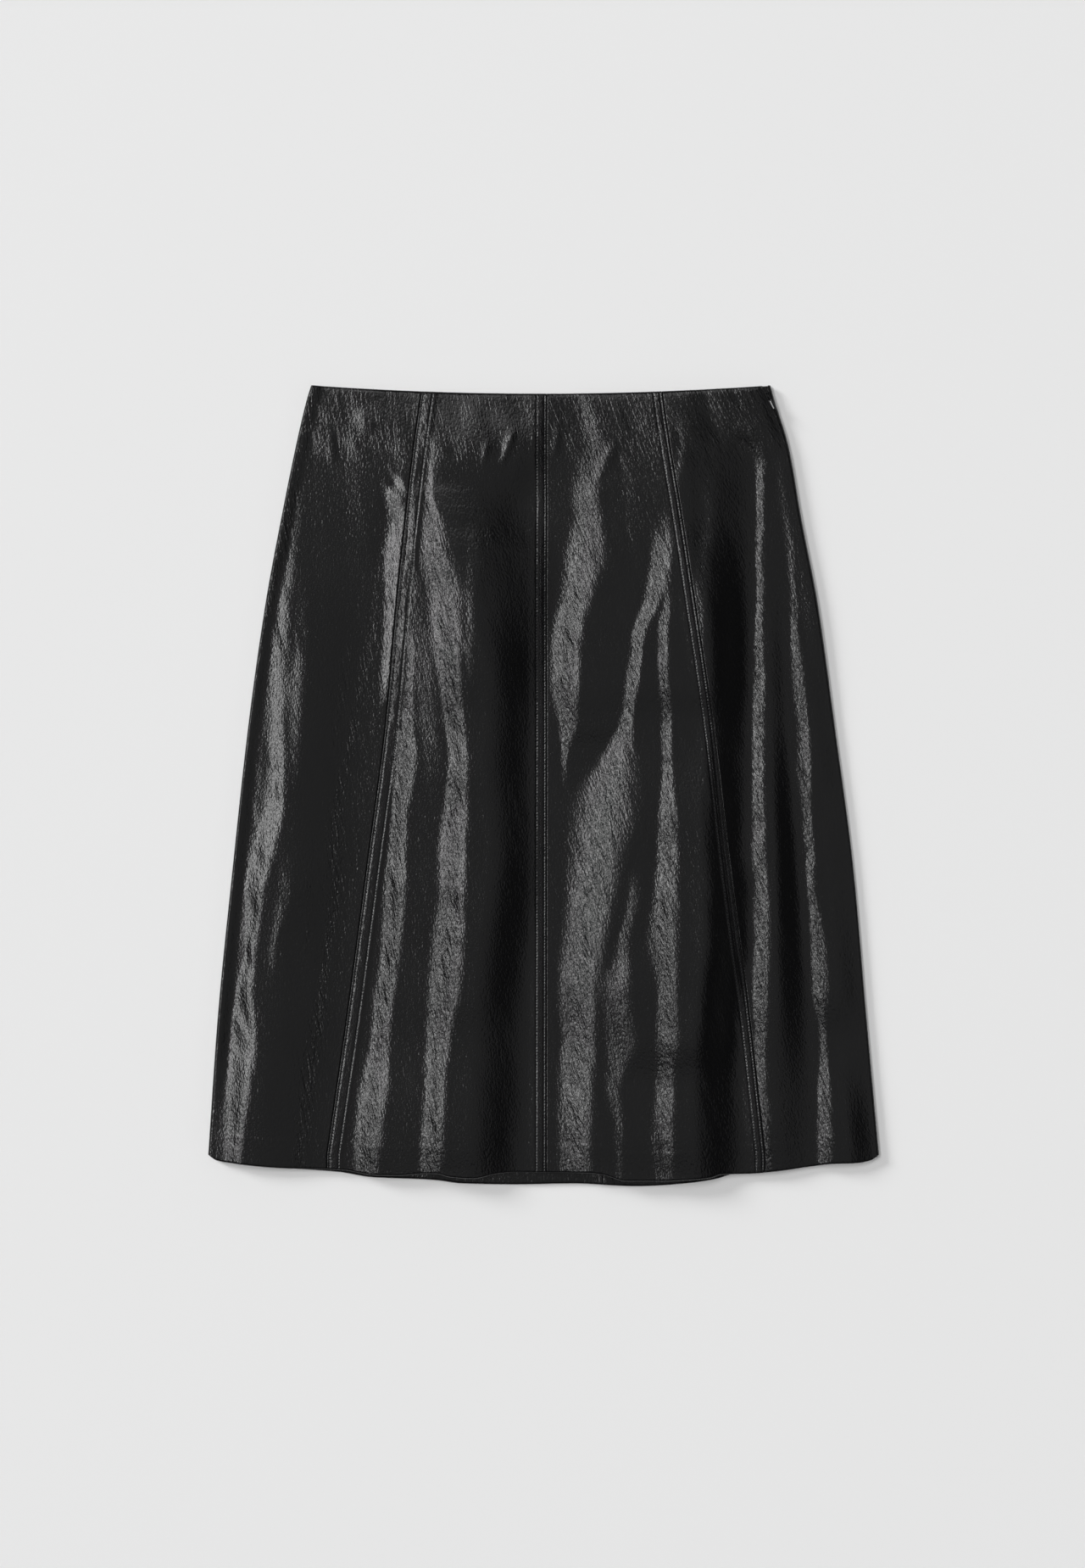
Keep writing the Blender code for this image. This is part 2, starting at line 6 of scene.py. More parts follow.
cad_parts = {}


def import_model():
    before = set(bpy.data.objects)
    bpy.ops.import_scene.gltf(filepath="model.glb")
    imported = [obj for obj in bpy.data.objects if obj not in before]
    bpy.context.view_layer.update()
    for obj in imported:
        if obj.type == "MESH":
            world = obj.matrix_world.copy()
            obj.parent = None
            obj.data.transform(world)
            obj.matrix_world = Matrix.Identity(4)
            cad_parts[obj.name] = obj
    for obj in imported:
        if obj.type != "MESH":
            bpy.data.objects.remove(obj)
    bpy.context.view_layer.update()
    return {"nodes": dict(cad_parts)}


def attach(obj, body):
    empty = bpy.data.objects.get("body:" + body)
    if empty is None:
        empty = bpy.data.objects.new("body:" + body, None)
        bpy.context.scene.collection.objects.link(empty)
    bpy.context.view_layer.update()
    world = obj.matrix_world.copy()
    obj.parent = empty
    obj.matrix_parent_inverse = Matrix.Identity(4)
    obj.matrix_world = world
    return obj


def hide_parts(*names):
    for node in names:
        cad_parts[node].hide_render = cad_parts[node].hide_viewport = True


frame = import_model()
mm = 0.001
print("frame loaded")

# the skirt's sizes, as in the frame, in mm
skirt = {
    "length": 661.1,        # waist corner to the lowest point of the back hem
    "side": 645.0,          # to the hem of the side gores
    "front": 650.0,         # to the hem of the front centre gores
    "back": 655.0,          # to the hem of the back centre gores
    "waistHalf": 189.5,     # mean half width of the waist, laid flat
    "waistDip": 6.7,        # how far the front waist edge dips at the centre
    "wall": 1.2,            # one layer of the cloth
    "seamGap": 0.1,         # clear space between two gores
    "flank": 0.5,           # half height of the straight flank of a rolled edge
    "hemTurn": 23.0,        # height of the turned-up hem
    "low": 2.8,             # outer height of the front where it rests on the back
    "hemLow": 5.2,          # the same over the two turned-up hems
    "hemReach": 4.0,        # how far above the hem's turn the front has reached it
    "waistMean": 3.0,       # mean dip of both waist edges
}

# seam lines and outline: distance from the centre line at these distances down from the waist
down = (0, 12, 50, 110, 180, 280, 400, 520, 635)
outlineLeft = (-192.0, -195.7, -204.6, -216.8, -229.7, -243.8, -257.0, -269.0, -277.0)
outlineRight = (187.2, 190.6, 202.2, 212.9, 226.4, 240.3, 256.0, 266.5, 277.0)
princessLeft = (-100.1, -101.8, -107.1, -114.1, -121.5, -130.6, -146.3, -162.3, -178.9)
centreSeam = (2.6, 2.6, 2.5, 2.5, 2.4, 2.4, 2.3, 2.2, 2.1)
princessRight = (97.1, 98.6, 104.2, 114.2, 124.8, 139.7, 154.1, 169.8, 182.5)
backPrincessLeft = tuple(-98 - 68 * d / 635 for d in down)
backCentre = tuple(2 + 47 * d / 635 for d in down)
backPrincessRight = tuple(97 + 92 * d / 635 for d in down)
rollLeft = (2.2, 2.2, 2.2, 2.2, 2.2, 2.2, 2.2, 2.3, 2.8)
rollRight = (3.2, 3.2, 3.2, 3.2, 3.2, 2.6, 2.4, 2.4, 2.8)

# hem lines: (across, down)
frontHem = (
    (-277, 634.6), (-270, 639.5), (-263, 641.0), (-216, 645.8), (-166, 647.5), (-141, 651.4),
    (-121, 651.8), (-99, 650.2), (-88, 650.1), (-77, 652.8), (-58, 654.0), (-38, 650.3), (-23, 649.3),
    (13, 649.8), (38, 649.8), (50, 651.4), (68, 656.3), (92, 656.3), (126, 654.7), (138, 653.5),
    (146, 651.1), (172, 650.4), (195, 648.1), (219, 644.8), (238, 642.4), (259, 641.6), (270, 639.5),
    (277, 634.6))
backHem = (
    (-277, 634.6), (-270, 639.5), (-263, 641.0), (-217, 645.8), (-169, 649.3), (-141, 653.7),
    (-92, 655.7), (-67, 658.8), (-23, 659.6), (24, 658.8), (77, 661.1), (117, 658.8), (140, 655.6),
    (160, 650.0), (195, 646.0), (259, 640.4), (270, 638.5), (277, 634.6))


def curveAt(places, values, at):
    # a curve through the table's points that never swings past them
    places, values = np.asarray(places, float), np.asarray(values, float)
    chords = np.diff(values) / np.diff(places)
    before, after = chords[:-1], chords[1:]
    same = before * after > 0
    slopes = np.where(same, 2 * before * after / np.where(same, before + after, 1), 0)
    slopes = np.concatenate([chords[:1], slopes, chords[-1:]])
    at = np.clip(at, places[0], places[-1])
    i = np.clip(np.searchsorted(places, at, side="right") - 1, 0, len(places) - 2)
    width = places[i + 1] - places[i]
    t = (at - places[i]) / width
    start, end, rise = slopes[i] * width, slopes[i + 1] * width, values[i + 1] - values[i]
    return values[i] + start * t + (3 * rise - 2 * start - end) * t ** 2 + (start + end - 2 * rise) * t ** 3


def columnAt(table, i, at):
    # the table's column i at a value of its first column
    return curveAt([row[0] for row in table], [row[i] for row in table], at)


def ease(low, high, at):
    t = np.clip((at - low) / (high - low), 0, 1)
    return t * t * (3 - 2 * t)


def noiseAt(u, v, seed):
    # smooth random values from -1 to 1, one for each unit square
    cellU, cellV = np.floor(u).astype(np.int64), np.floor(v).astype(np.int64)
    partU, partV = u - cellU, v - cellV
    partU, partV = partU ** 2 * (3 - 2 * partU), partV ** 2 * (3 - 2 * partV)

    def corner(stepU, stepV):
        n = (cellU + stepU) * 374761393 + (cellV + stepV) * 668265263 + seed * 974711
        n = ((n ^ (n >> 13)) * 1274126177) & 0xffffffff
        return ((n ^ (n >> 16)) & 0xffff) / 32767.5 - 1

    near = corner(0, 0) * (1 - partU) + corner(1, 0) * partU
    far = corner(0, 1) * (1 - partU) + corner(1, 1) * partU
    return near * (1 - partV) + far * partV


def waistAt(across):
    return skirt["waistDip"] * np.maximum(0, 1 - (across / skirt["waistHalf"]) ** 2)


def hemAt(hem, across):
    return columnAt(hem, 1, across)


def downAt(hem, across, part):
    return waistAt(across) * (1 - part) + hemAt(hem, across) * part


def lineAt(line, hem, part):
    # the points of a seam line at parts of the gore's length, found in a few rounds
    across = np.full_like(part, line[4])
    for _ in range(4):
        across = curveAt(down, line, downAt(hem, across, part))
    return across, downAt(hem, across, part)


# The flutes of the front, in mm. Each has a flank that rises to the right, and a back where it falls again.
# Flank: down, across where it starts and ends, and how steep it is, 1 being the steepest soft fold.
# Back: down, across where the fall starts and ends.
leftBack = (
    (0, -98, -40), (63, -97, -36), (90, -87, -18), (110, -79, -2), (137, -72, 14), (172, -64, 18),
    (207, -56, 8), (245, -48, 2), (310, -50, -2), (380, -46, 2), (420, -48, 0), (460, -54, -6),
    (500, -58, -10), (580, -61, -12), (650, -64, -15))
rightBack = (
    (0, 110, 174), (110, 112, 174), (137, 116, 174), (172, 126, 174), (207, 132, 173), (245, 134, 173),
    (280, 134, 172), (310, 130, 171), (380, 128, 169), (420, 130, 173), (460, 130, 173), (500, 126, 168),
    (580, 120, 166), (650, 121, 168))
noBack = ((0, 260, 270), (650, 290, 300))       # past the side edge
flutes = {
    "leftEdge": {
        "flank": ((120, -218, -206, 0.0), (160, -226, -214, 0.2), (207, -234, -222, 0.3),
                  (280, -244, -224, 0.3), (345, -250, -228, 0.28), (420, -256, -242, 0.4),
                  (500, -264, -250, 0.25), (580, -272, -258, 0.15), (650, -276, -260, 0.25)),
        "back": ((0, -200, -150), (300, -206, -150), (650, -235, -175))},
    "leftSide": {
        "flank": ((60, -206, -199, 0.0), (110, -208, -200, 0.3), (137, -211, -203, 0.42),
                  (172, -220, -207, 0.52), (207, -226, -210, 0.55), (245, -226, -210, 0.6),
                  (280, -227, -213, 0.7), (310, -228, -213, 0.8), (345, -231, -214, 0.88),
                  (380, -239, -220, 0.92), (420, -247, -231, 1.0), (460, -247, -236, 1.1),
                  (500, -254, -239, 1.05), (540, -260, -237, 1.05), (580, -263, -241, 1.05),
                  (620, -263, -247, 1.0), (650, -264, -249, 0.9)),
        "back": ((0, -196, -140), (137, -202, -136), (207, -208, -134), (245, -208, -134),
                 (300, -210, -140), (460, -226, -150), (540, -234, -160), (650, -242, -176))},
    "leftSideFold": {
        "flank": ((150, -205, -195, 0.0), (207, -206, -194, 0.32), (245, -211, -197, 0.48),
                  (280, -211, -199, 0.4), (340, -213, -203, 0.0)),
        "back": ((0, -192, -140), (320, -196, -145))},
    "leftLowFold": {
        "flank": ((380, -216, -206, 0.0), (420, -220, -208, 0.4), (460, -227, -220, 0.4),
                  (495, -229, -223, 0.0)),
        "back": ((0, -205, -150), (600, -205, -160))},
    "leftPrincess": {
        "flank": ((55, -124, -114, 0.0), (75, -124, -114, 0.5), (92, -132, -114, 0.75),
                  (110, -130, -115, 0.95), (137, -133, -118, 1.0), (172, -132, -120, 1.0),
                  (207, -132, -122, 0.95), (245, -135, -125, 0.6), (270, -136, -128, 0.0)),
        "back": leftBack},
    "leftBand": {
        "flank": ((80, -115, -108, 0.0), (112, -117, -110, 0.6), (137, -119, -112, 0.75),
                  (172, -120.5, -113, 0.8), (207, -123.5, -116, 0.8), (245, -127, -119, 0.7),
                  (290, -129, -121, 0.0)),
        "back": leftBack},
    "leftInner": {
        "flank": ((85, -112, -104, 0.0), (112, -112, -105, 0.5), (137, -113, -106, 0.75),
                  (172, -112, -105, 0.75), (207, -115, -108, 0.7), (245, -118, -108, 0.9),
                  (280, -122, -107, 1.0), (310, -126, -105, 1.0), (345, -127, -110, 1.0),
                  (380, -129, -113, 1.0), (420, -134, -114, 1.05), (460, -134, -117, 1.05),
                  (500, -140, -122, 1.0), (540, -143, -126, 1.0), (580, -152, -128, 1.0),
                  (620, -156, -133, 1.0), (650, -158, -136, 0.9)),
        "back": leftBack},
    "leftFront": {
        "flank": ((50, -100, -90, 0.0), (90, -101, -91, 0.75), (110, -103, -82, 0.68),
                  (137, -104, -76, 0.70), (172, -94, -66, 0.85), (207, -92, -67, 0.95),
                  (245, -86, -68, 1.1), (280, -82, -64, 1.05), (310, -79, -62, 1.05),
                  (345, -82, -61, 1.0), (380, -87, -64, 1.0), (420, -87, -64, 1.05), (460, -93, -65, 1.0),
                  (500, -95, -68, 1.0), (540, -97, -77, 1.0), (580, -99, -80, 1.0), (620, -101, -81, 1.0),
                  (650, -103, -83, 0.9)),
        "back": leftBack},
    "leftMist": {
        "flank": ((140, -112, -94, 0.0), (175, -110, -90, 0.22), (215, -112, -88, 0.34),
                  (250, -108, -86, 0.32), (280, -106, -86, 0.27), (310, -102, -84, 0.15),
                  (345, -100, -84, 0.0)),
        "back": leftBack},
    "leftHaze": {
        "flank": ((100, -66, -54, 0.0), (150, -65, -53, 0.3), (190, -66, -55, 0.35), (215, -66, -56, 0.3),
                  (260, -66, -58, 0.0)),
        "back": leftBack},
    "hip": {
        "flank": ((0, 22, 42, 0.3), (20, 24, 40, 0.45), (50, 30, 50, 0.4), (70, 22, 52, 0.42),
                  (90, 22, 46, 0.7), (110, 24, 50, 0.72), (137, 16, 53, 0.68), (172, 11, 42, 0.9),
                  (207, 5, 32, 1.05), (245, 5, 30, 1.05), (280, 12, 28, 0.95), (300, 14, 22, 0.8),
                  (318, 14, 20, 0.4), (335, 15, 20, 0.0)),
        "back": rightBack},
    "rightCarrier": {
        "flank": ((0, 45, 104, 0.08), (20, 45, 104, 0.14), (50, 45, 104, 0.21), (75, 45, 104, 0.23),
                  (95, 45, 104, 0.22), (115, 45, 102, 0.17), (137, 50, 92, 0.06), (155, 50, 90, 0.0)),
        "back": rightBack},
    "rightInner": {
        "flank": ((100, 92, 104, 0.0), (118, 90, 105, 0.4), (137, 88, 106, 0.85), (172, 83, 99, 1.0),
                  (207, 72, 84, 1.1), (245, 67, 79, 1.1), (280, 61, 74, 1.05), (300, 50, 75, 0.93),
                  (320, 37, 78, 0.82), (345, 24, 79, 0.76), (380, 20, 70, 0.85), (420, 18, 60, 0.92),
                  (460, 15, 52, 0.98), (500, 12, 46, 0.95), (540, 14, 44, 1.0), (580, 11, 42, 0.9),
                  (620, 11, 40, 1.0), (650, 12, 40, 0.95)),
        "back": rightBack},
    "rightMiddle": {
        "flank": ((395, 70, 80, 0.0), (420, 69, 80, 0.55), (460, 60, 72, 0.6), (500, 47, 72, 0.75),
                  (540, 50, 78, 0.65), (580, 50, 64, 0.6), (620, 58, 66, 0.5), (650, 58, 66, 0.4)),
        "back": rightBack},
    "rightFront": {
        "flank": ((140, 98, 106, 0.0), (172, 99, 106, 0.5), (207, 93, 103, 1.05), (245, 94, 104, 1.05),
                  (280, 96, 106, 1.0), (310, 97, 107, 1.05), (345, 95, 110, 1.05), (380, 93, 112, 0.95),
                  (420, 89, 112, 1.0), (460, 84, 112, 1.0), (500, 93, 111, 1.05), (540, 92, 113, 1.0),
                  (580, 91, 109, 1.0), (620, 88, 108, 0.8), (650, 90, 108, 0.7)),
        "back": rightBack},
    "rightYoke": {
        "flank": ((20, 110, 118, 0.0), (42, 110, 119, 0.35), (70, 106, 114, 0.4), (90, 104, 112, 0.2),
                  (110, 104, 112, 0.0)),
        "back": ((0, 118, 140), (110, 118, 140))},
    "rightHip": {
        "flank": ((40, 126, 142, 0.0), (85, 126, 143, 0.38), (110, 128, 141, 0.45), (137, 126, 139, 0.52),
                  (172, 123, 135, 0.5), (200, 124, 134, 0.3), (240, 124, 134, 0.0)),
        "back": ((0, 143, 174), (240, 138, 174))},
    "zipSide": {
        "flank": ((0, 100, 172, 0.155), (20, 118, 174, 0.19), (34, 138, 178, 0.27), (50, 164, 182, 0.52),
                  (64, 174, 184, 0.75), (90, 175, 183, 0.98), (137, 175, 182, 0.9), (172, 176, 183, 0.7),
                  (207, 174, 182, 0.5), (245, 172, 183, 0.3), (310, 172, 183, 0.25),
                  (420, 172, 183, 0.25), (500, 172, 184, 0.25), (580, 177, 185, 0.25),
                  (650, 182, 189, 0.2)),
        "back": noBack},
    "zipSideLow": {
        "flank": ((110, 176, 183, 0.0), (137, 175, 182, 0.1), (172, 176, 183, 0.35), (207, 174, 182, 0.6),
                  (245, 172, 183, 0.75), (310, 172, 183, 0.8), (380, 172, 184, 0.85),
                  (420, 172, 186, 0.85), (460, 173, 188, 0.85), (500, 172, 187, 0.85),
                  (540, 174, 186, 0.8), (580, 177, 185, 0.75), (620, 181, 189, 0.7),
                  (650, 182, 189, 0.6)),
        "back": ((110, 186, 200), (172, 186, 200), (207, 186, 199), (245, 186, 201), (310, 187, 204),
                 (380, 188, 210), (460, 190, 216), (500, 190, 220), (580, 189, 224), (650, 190, 222))},
    "zipFall": {
        "flank": ((280, 112, 172, 0.0), (330, 112, 172, 0.14), (380, 114, 172, 0.22),
                  (420, 116, 172, 0.25), (540, 118, 172, 0.25), (600, 120, 176, 0.2),
                  (650, 122, 180, 0.1)),
        "back": ((280, 187, 205), (345, 188, 209), (420, 190, 215), (500, 190, 220), (580, 189, 223),
                 (650, 190, 224))},
    "zipRoom": {
        "flank": ((0, 110, 172, 0.08), (60, 110, 172, 0.09), (190, 120, 172, 0.07), (260, 120, 172, 0.0)),
        "back": noBack},
    "rightSide": {
        "flank": ((58, 190, 198, 0.0), (90, 192, 200, 0.35), (110, 195, 203, 0.35), (137, 199, 207, 0.5),
                  (172, 203, 210, 0.65), (207, 204, 212, 0.9), (245, 205, 216, 1.0),
                  (280, 208, 219, 0.95), (310, 208, 221, 0.9), (345, 212, 221, 0.95),
                  (380, 215, 224, 1.0), (420, 218, 227, 1.0), (460, 220, 233, 1.0), (500, 221, 236, 1.0),
                  (540, 228, 234, 1.05), (580, 226, 237, 1.05), (620, 225, 240, 1.05),
                  (650, 226, 240, 1.0)),
        "back": noBack},
}
flankSlope = 0.197
flankMargin = 0.09              # share of a flank's width by which it runs out on each side

# The swell below the waist: its lift, how far down its ridge lies and over what length it falls away again.
swell = {
    "across": (-190, -165, -150, -110, -75, -45, -10, 5, 40, 75, 110, 150, 190),
    "lift": (0.6, 1.3, 2.1, 3.2, 4.9, 5.5, 4.0, 2.0, 2.1, 1.2, 0.8, 0.5, 0.4),
    "ridge": (50, 52, 56, 54, 57, 60, 55, 50, 60, 58, 54, 52, 50),
    "fall": (110, 110, 110, 80, 62, 64, 44, 80, 120, 120, 120, 120, 120),
    "fallShare": 0.8,
    "riseFrom": -0.1,           # where its rise starts, as a share of the way to the ridge
    "edgeLift": 0.95,           # the quick rise from the turned waist edge
    "edgeWidth": 4.6,
    "edgeFade": (20, 90),       # where that rise is lost again
    "restLift": 0.15,           # rounding where the front comes to rest on the back
    "restFade": 0.3,
    "hemEase": 80,              # length over which the front climbs onto the turned-up hems
}

# Short creases: start and end (across, down), half width and lift.
creases = (
    ((-128, 66), (-113, 84), 3.0, 0.55),
    ((-131, 81), (-115, 98), 3.2, 0.5),
    ((-25, 38), (-34, 64), 3.2, 0.8),
    ((-46, 48), (-50, 64), 3.0, 0.5),
    ((-176, 40), (-174, 62), 3.0, 0.4),
    ((-197, 34), (-201, 56), 3.0, 0.4),
    ((60, 48), (44, 78), 4.0, 0.5),
    ((12, 36), (9, 58), 3.5, 0.5),
    ((-152, 22), (-142, 38), 6.0, 0.9),
    ((150, 52), (163, 36), 4.0, 0.25),
    ((-92, 44), (-80, 56), 4.0, 0.5),
)

ripples = {
    # lift, size of one ripple across and down, and how far it leans to the right on its way down
    "broad": (0.36, 13, 48, 0.12),
    "fine": (0.31, 6.0, 24, 0.32),
    "waist": (0.50, 13, 26, 0.30),      # only above the swell's ridge
    "waistFade": (0.8, 1.4),            # where it runs out, as shares of the way to the ridge
    "waistFolded": 0.55,                # how strongly the wrinkles show there
    "calm": 0.14,                       # their share on cloth that lies flat
    "seed": 11,
    "edgeReachLeft": (10, 10),          # how far in from the side edge the flutes begin, at waist and hem
    "edgeReachRight": (9, 24),
}


def frontShape(across, at):
    # outer height of the front away from its seams, and how strongly it is folded there, from 0 to 1
    left = curveAt(down, outlineLeft, at) + curveAt(down, rollLeft, at)
    right = curveAt(down, outlineRight, at) - curveAt(down, rollRight, at)
    low = skirt["low"] + (skirt["hemLow"] - skirt["low"]) * ease(
        -swell["hemEase"], 0, at + skirt["hemTurn"] + skirt["hemReach"] - hemAt(frontHem, across))
    height, slope = low.copy(), np.zeros_like(low)
    for flute in flutes.values():
        start, end, steep = (columnAt(flute["flank"], i, at) for i in (1, 2, 3))
        top, foot = (columnAt(flute["back"], i, at) for i in (1, 2))
        lift, margin = flankSlope * steep * (end - start), flankMargin * (end - start)
        rise = ease(start - margin, end + margin, across)
        height = height + lift * (rise - ease(top, foot, across))
        slope = slope + steep * 4 * rise * (1 - rise)
    ridge = curveAt(swell["across"], swell["ridge"], across)
    lift = curveAt(swell["across"], swell["lift"], across)
    fallen = swell["fallShare"] * ease(0, 1, (at - ridge) / curveAt(swell["across"], swell["fall"], across))
    height = height + lift * (ease(swell["riseFrom"], 1, at / ridge) - fallen)
    below = np.clip((at - waistAt(across)) / swell["edgeWidth"], 0, 1)
    height = height + swell["edgeLift"] * (np.sqrt(1 - (1 - below) ** 2) - ease(*swell["edgeFade"], at))
    for (x0, y0), (x1, y1), width, lift in creases:
        long = math.hypot(x1 - x0, y1 - y0)
        alongX, alongY = (x1 - x0) / long, (y1 - y0) / long
        along = ((across - x0) * alongX + (at - y0) * alongY) / long
        off = (across - x0) * alongY - (at - y0) * alongX
        # full lift over the middle half, then it runs out
        past = 4 * np.clip(np.abs(along - 0.5) - 0.25, 0, None)
        height = height + lift * np.exp(-(off / width) ** 2 - past ** 2)
    upper = 1 - ease(*ripples["waistFade"], at / ridge)
    folded = np.clip(slope, 0, 1)
    for i, name in enumerate(("broad", "fine", "waist")):
        lift, wide, long, lean = ripples[name]
        share = upper if name == "waist" else ripples["calm"] + (1 - ripples["calm"]) * folded
        uneven = noiseAt((across - lean * at) / wide + 7 * i, at / long + 3 * i, ripples["seed"] + i)
        height = height + lift * share * uneven
    resting = swell["restLift"] * np.exp(-np.abs(height - low) / swell["restFade"])
    height = np.maximum(height, low) + resting
    part = np.clip(at / skirt["side"], 0, 1)
    sides = ((left, rollLeft, "edgeReachLeft", 1), (right, rollRight, "edgeReachRight", -1))
    for edge, roll, reach, sign in sides:
        reach = ripples[reach][0] * (1 - part) + ripples[reach][1] * part
        blend = ease(0, 1, sign * (across - edge) / reach)
        height = height * blend + 2 * curveAt(down, roll, at) * (1 - blend)
    return height, np.clip(folded + ripples["waistFolded"] * upper, 0, 1)


# nodes: sums written as Python expressions
class Link:
    def __init__(self, nodes, socket):
        self.nodes, self.socket = nodes, socket

    def withOther(self, operation, first, second):
        node = self.nodes.add("ShaderNodeMath", {"operation": operation}, {0: first, 1: second})
        return Link(self.nodes, node.outputs[0])

    def __add__(self, other):
        return self.withOther("ADD", self, other)

    def __radd__(self, other):
        return self.withOther("ADD", other, self)

    def __sub__(self, other):
        return self.withOther("SUBTRACT", self, other)

    def __rsub__(self, other):
        return self.withOther("SUBTRACT", other, self)

    def __mul__(self, other):
        return self.withOther("MULTIPLY", self, other)

    def __rmul__(self, other):
        return self.withOther("MULTIPLY", other, self)

    def __pow__(self, other):
        return self.withOther("POWER", self, other)


class Nodes:
    def __init__(self, tree):
        self.tree = tree

    def add(self, kind, settings=None, values=None):
        node = self.tree.nodes.new(kind)
        for name, value in (settings or {}).items():
            setattr(node, name, value)
        for name, value in (values or {}).items():
            if isinstance(value, Link):
                self.tree.links.new(value.socket, node.inputs[name])
            elif isinstance(value, bpy.types.NodeSocket):
                self.tree.links.new(value, node.inputs[name])
            else:
                node.inputs[name].default_value = value
        return node

    def link(self, kind, output, settings=None, values=None):
        return Link(self, self.add(kind, settings, values).outputs[output])


def newMaterial(name):
    material = bpy.data.materials.new(name)
    material.use_nodes = True
    material.node_tree.nodes.clear()
    return material, Nodes(material.node_tree)


coatedCloth = {
    "colour": (0.0032, 0.0032, 0.0035),
    "roughness": 0.18,
    "roughnessRange": 0.08,     # by which it varies in patches, and their size in mm
    "patchWide": 24.0,
    "patchLong": 60.0,
    "pebbleDepth": 0.10,        # mm, of the embossed pebbles
    "pebbleWide": 1.3,          # mm, size of one pebble across and down
    "pebbleLong": 2.2,
    "grainDepth": 0.21,         # mm, of the finer unevenness between them
    "grainWide": 1.6,
    "grainLong": 4.0,
    "grainFlat": 0.55,          # its share on flat cloth, and what a fold adds
    "grainFolded": 0.75,
    "grainLean": 0.12,          # how far pebbles and grain lean to the right on their way down
    "wrinkleDepth": 0.58,       # mm, of the fine long wrinkles
    "wrinkleWide": 3.0,
    "wrinkleLong": 19.0,
    "wrinkleLean": 0.32,
    "calm": 0.12,               # share of the wrinkles on cloth that lies flat
    "stitchPitch": 2.45,        # mm
    "grooveDepth": 0.10,        # mm, of the cloth pulled in by a stitch row
    "grooveWidth": 0.75,
}


def coatedClothMaterial():
    size = coatedCloth
    material, nodes = newMaterial("coatedCloth")
    cut = nodes.add("ShaderNodeUVMap", {"uv_map": "cut"})
    parts = nodes.add("ShaderNodeSeparateXYZ", None, {0: cut.outputs[0]})
    u, v = Link(nodes, parts.outputs[0]), Link(nodes, parts.outputs[1])

    def placed(wide, long, lean, shift):
        return nodes.link("ShaderNodeCombineXYZ", 0, None, {
            0: (u + v * lean) * (1000 / wide), 1: v * (1000 / long), 2: shift})

    def noise(wide, long, lean, shift, detail, rough, distortion):
        return nodes.link("ShaderNodeTexNoise", 0, None, {
            "Vector": placed(wide, long, lean, shift), "Scale": 1.0, "Detail": detail, "Roughness": rough,
            "Distortion": distortion})

    pebble = nodes.link("ShaderNodeTexVoronoi", 0, {"feature": "SMOOTH_F1"}, {
        "Vector": placed(size["pebbleWide"], size["pebbleLong"], size["grainLean"], 0.0), "Scale": 1.0,
        "Smoothness": 0.3})
    grain = noise(size["grainWide"], size["grainLong"], size["grainLean"], 3.0, 2.0, 0.55, 0.4)
    wrinkles = noise(size["wrinkleWide"], size["wrinkleLong"], size["wrinkleLean"], 5.0, 2.0, 0.55, 0.8)
    patches = noise(size["patchWide"], size["patchLong"], 0.0, 9.0, 1.0, 0.5, 0.0)
    off = nodes.link("ShaderNodeAttribute", 2, {"attribute_name": "stitchOff"})
    along = nodes.link("ShaderNodeAttribute", 2, {"attribute_name": "stitchAlong"})
    folded = nodes.link("ShaderNodeAttribute", 2, {"attribute_name": "folded"})
    groove = nodes.link("ShaderNodeMath", 0, {"operation": "EXPONENT"}, {
        0: off * off * (-1e6 / size["grooveWidth"] ** 2)})
    holes = nodes.link("ShaderNodeMath", 0, {"operation": "COSINE"}, {
        0: along * (2 * math.pi * 1000 / size["stitchPitch"])})
    height = (wrinkles - 0.5) * (folded * (1 - size["calm"]) + size["calm"]) * (size["wrinkleDepth"] * mm)
    height = height + (grain - 0.5) * (folded * size["grainFolded"] + size["grainFlat"]) * (
        size["grainDepth"] * mm)
    height = height - pebble * pebble * (size["pebbleDepth"] * mm)
    height = height - groove * (holes * 0.5 + 0.9) * (size["grooveDepth"] * mm)
    bump = nodes.add("ShaderNodeBump", None, {"Strength": 1.0, "Distance": 1.0, "Height": height})
    roughness = (patches - 0.5) * size["roughnessRange"] + size["roughness"]
    shader = nodes.add("ShaderNodeBsdfPrincipled", None, {
        "Base Color": (*size["colour"], 1), "Roughness": roughness, "Normal": bump.outputs[0], "IOR": 1.5})
    nodes.add("ShaderNodeOutputMaterial", None, {"Surface": shader.outputs[0]})
    return material


def plainMaterial(name, colour, roughness, metallic=0.0, grainWide=1.0, grainDepth=0.02):
    material, nodes = newMaterial(name)
    where = nodes.add("ShaderNodeTexCoord")
    noise = nodes.link("ShaderNodeTexNoise", 0, None, {
        "Vector": where.outputs["Object"], "Scale": 1000 / grainWide})
    bump = nodes.add("ShaderNodeBump", None, {
        "Strength": 1.0, "Distance": 1.0, "Height": noise * (grainDepth * mm)})
    shader = nodes.add("ShaderNodeBsdfPrincipled", None, {
        "Base Color": (*colour, 1), "Roughness": (noise - 0.5) * 0.1 + roughness, "Metallic": metallic,
        "Normal": bump.outputs[0]})
    nodes.add("ShaderNodeOutputMaterial", None, {"Surface": shader.outputs[0]})
    return material


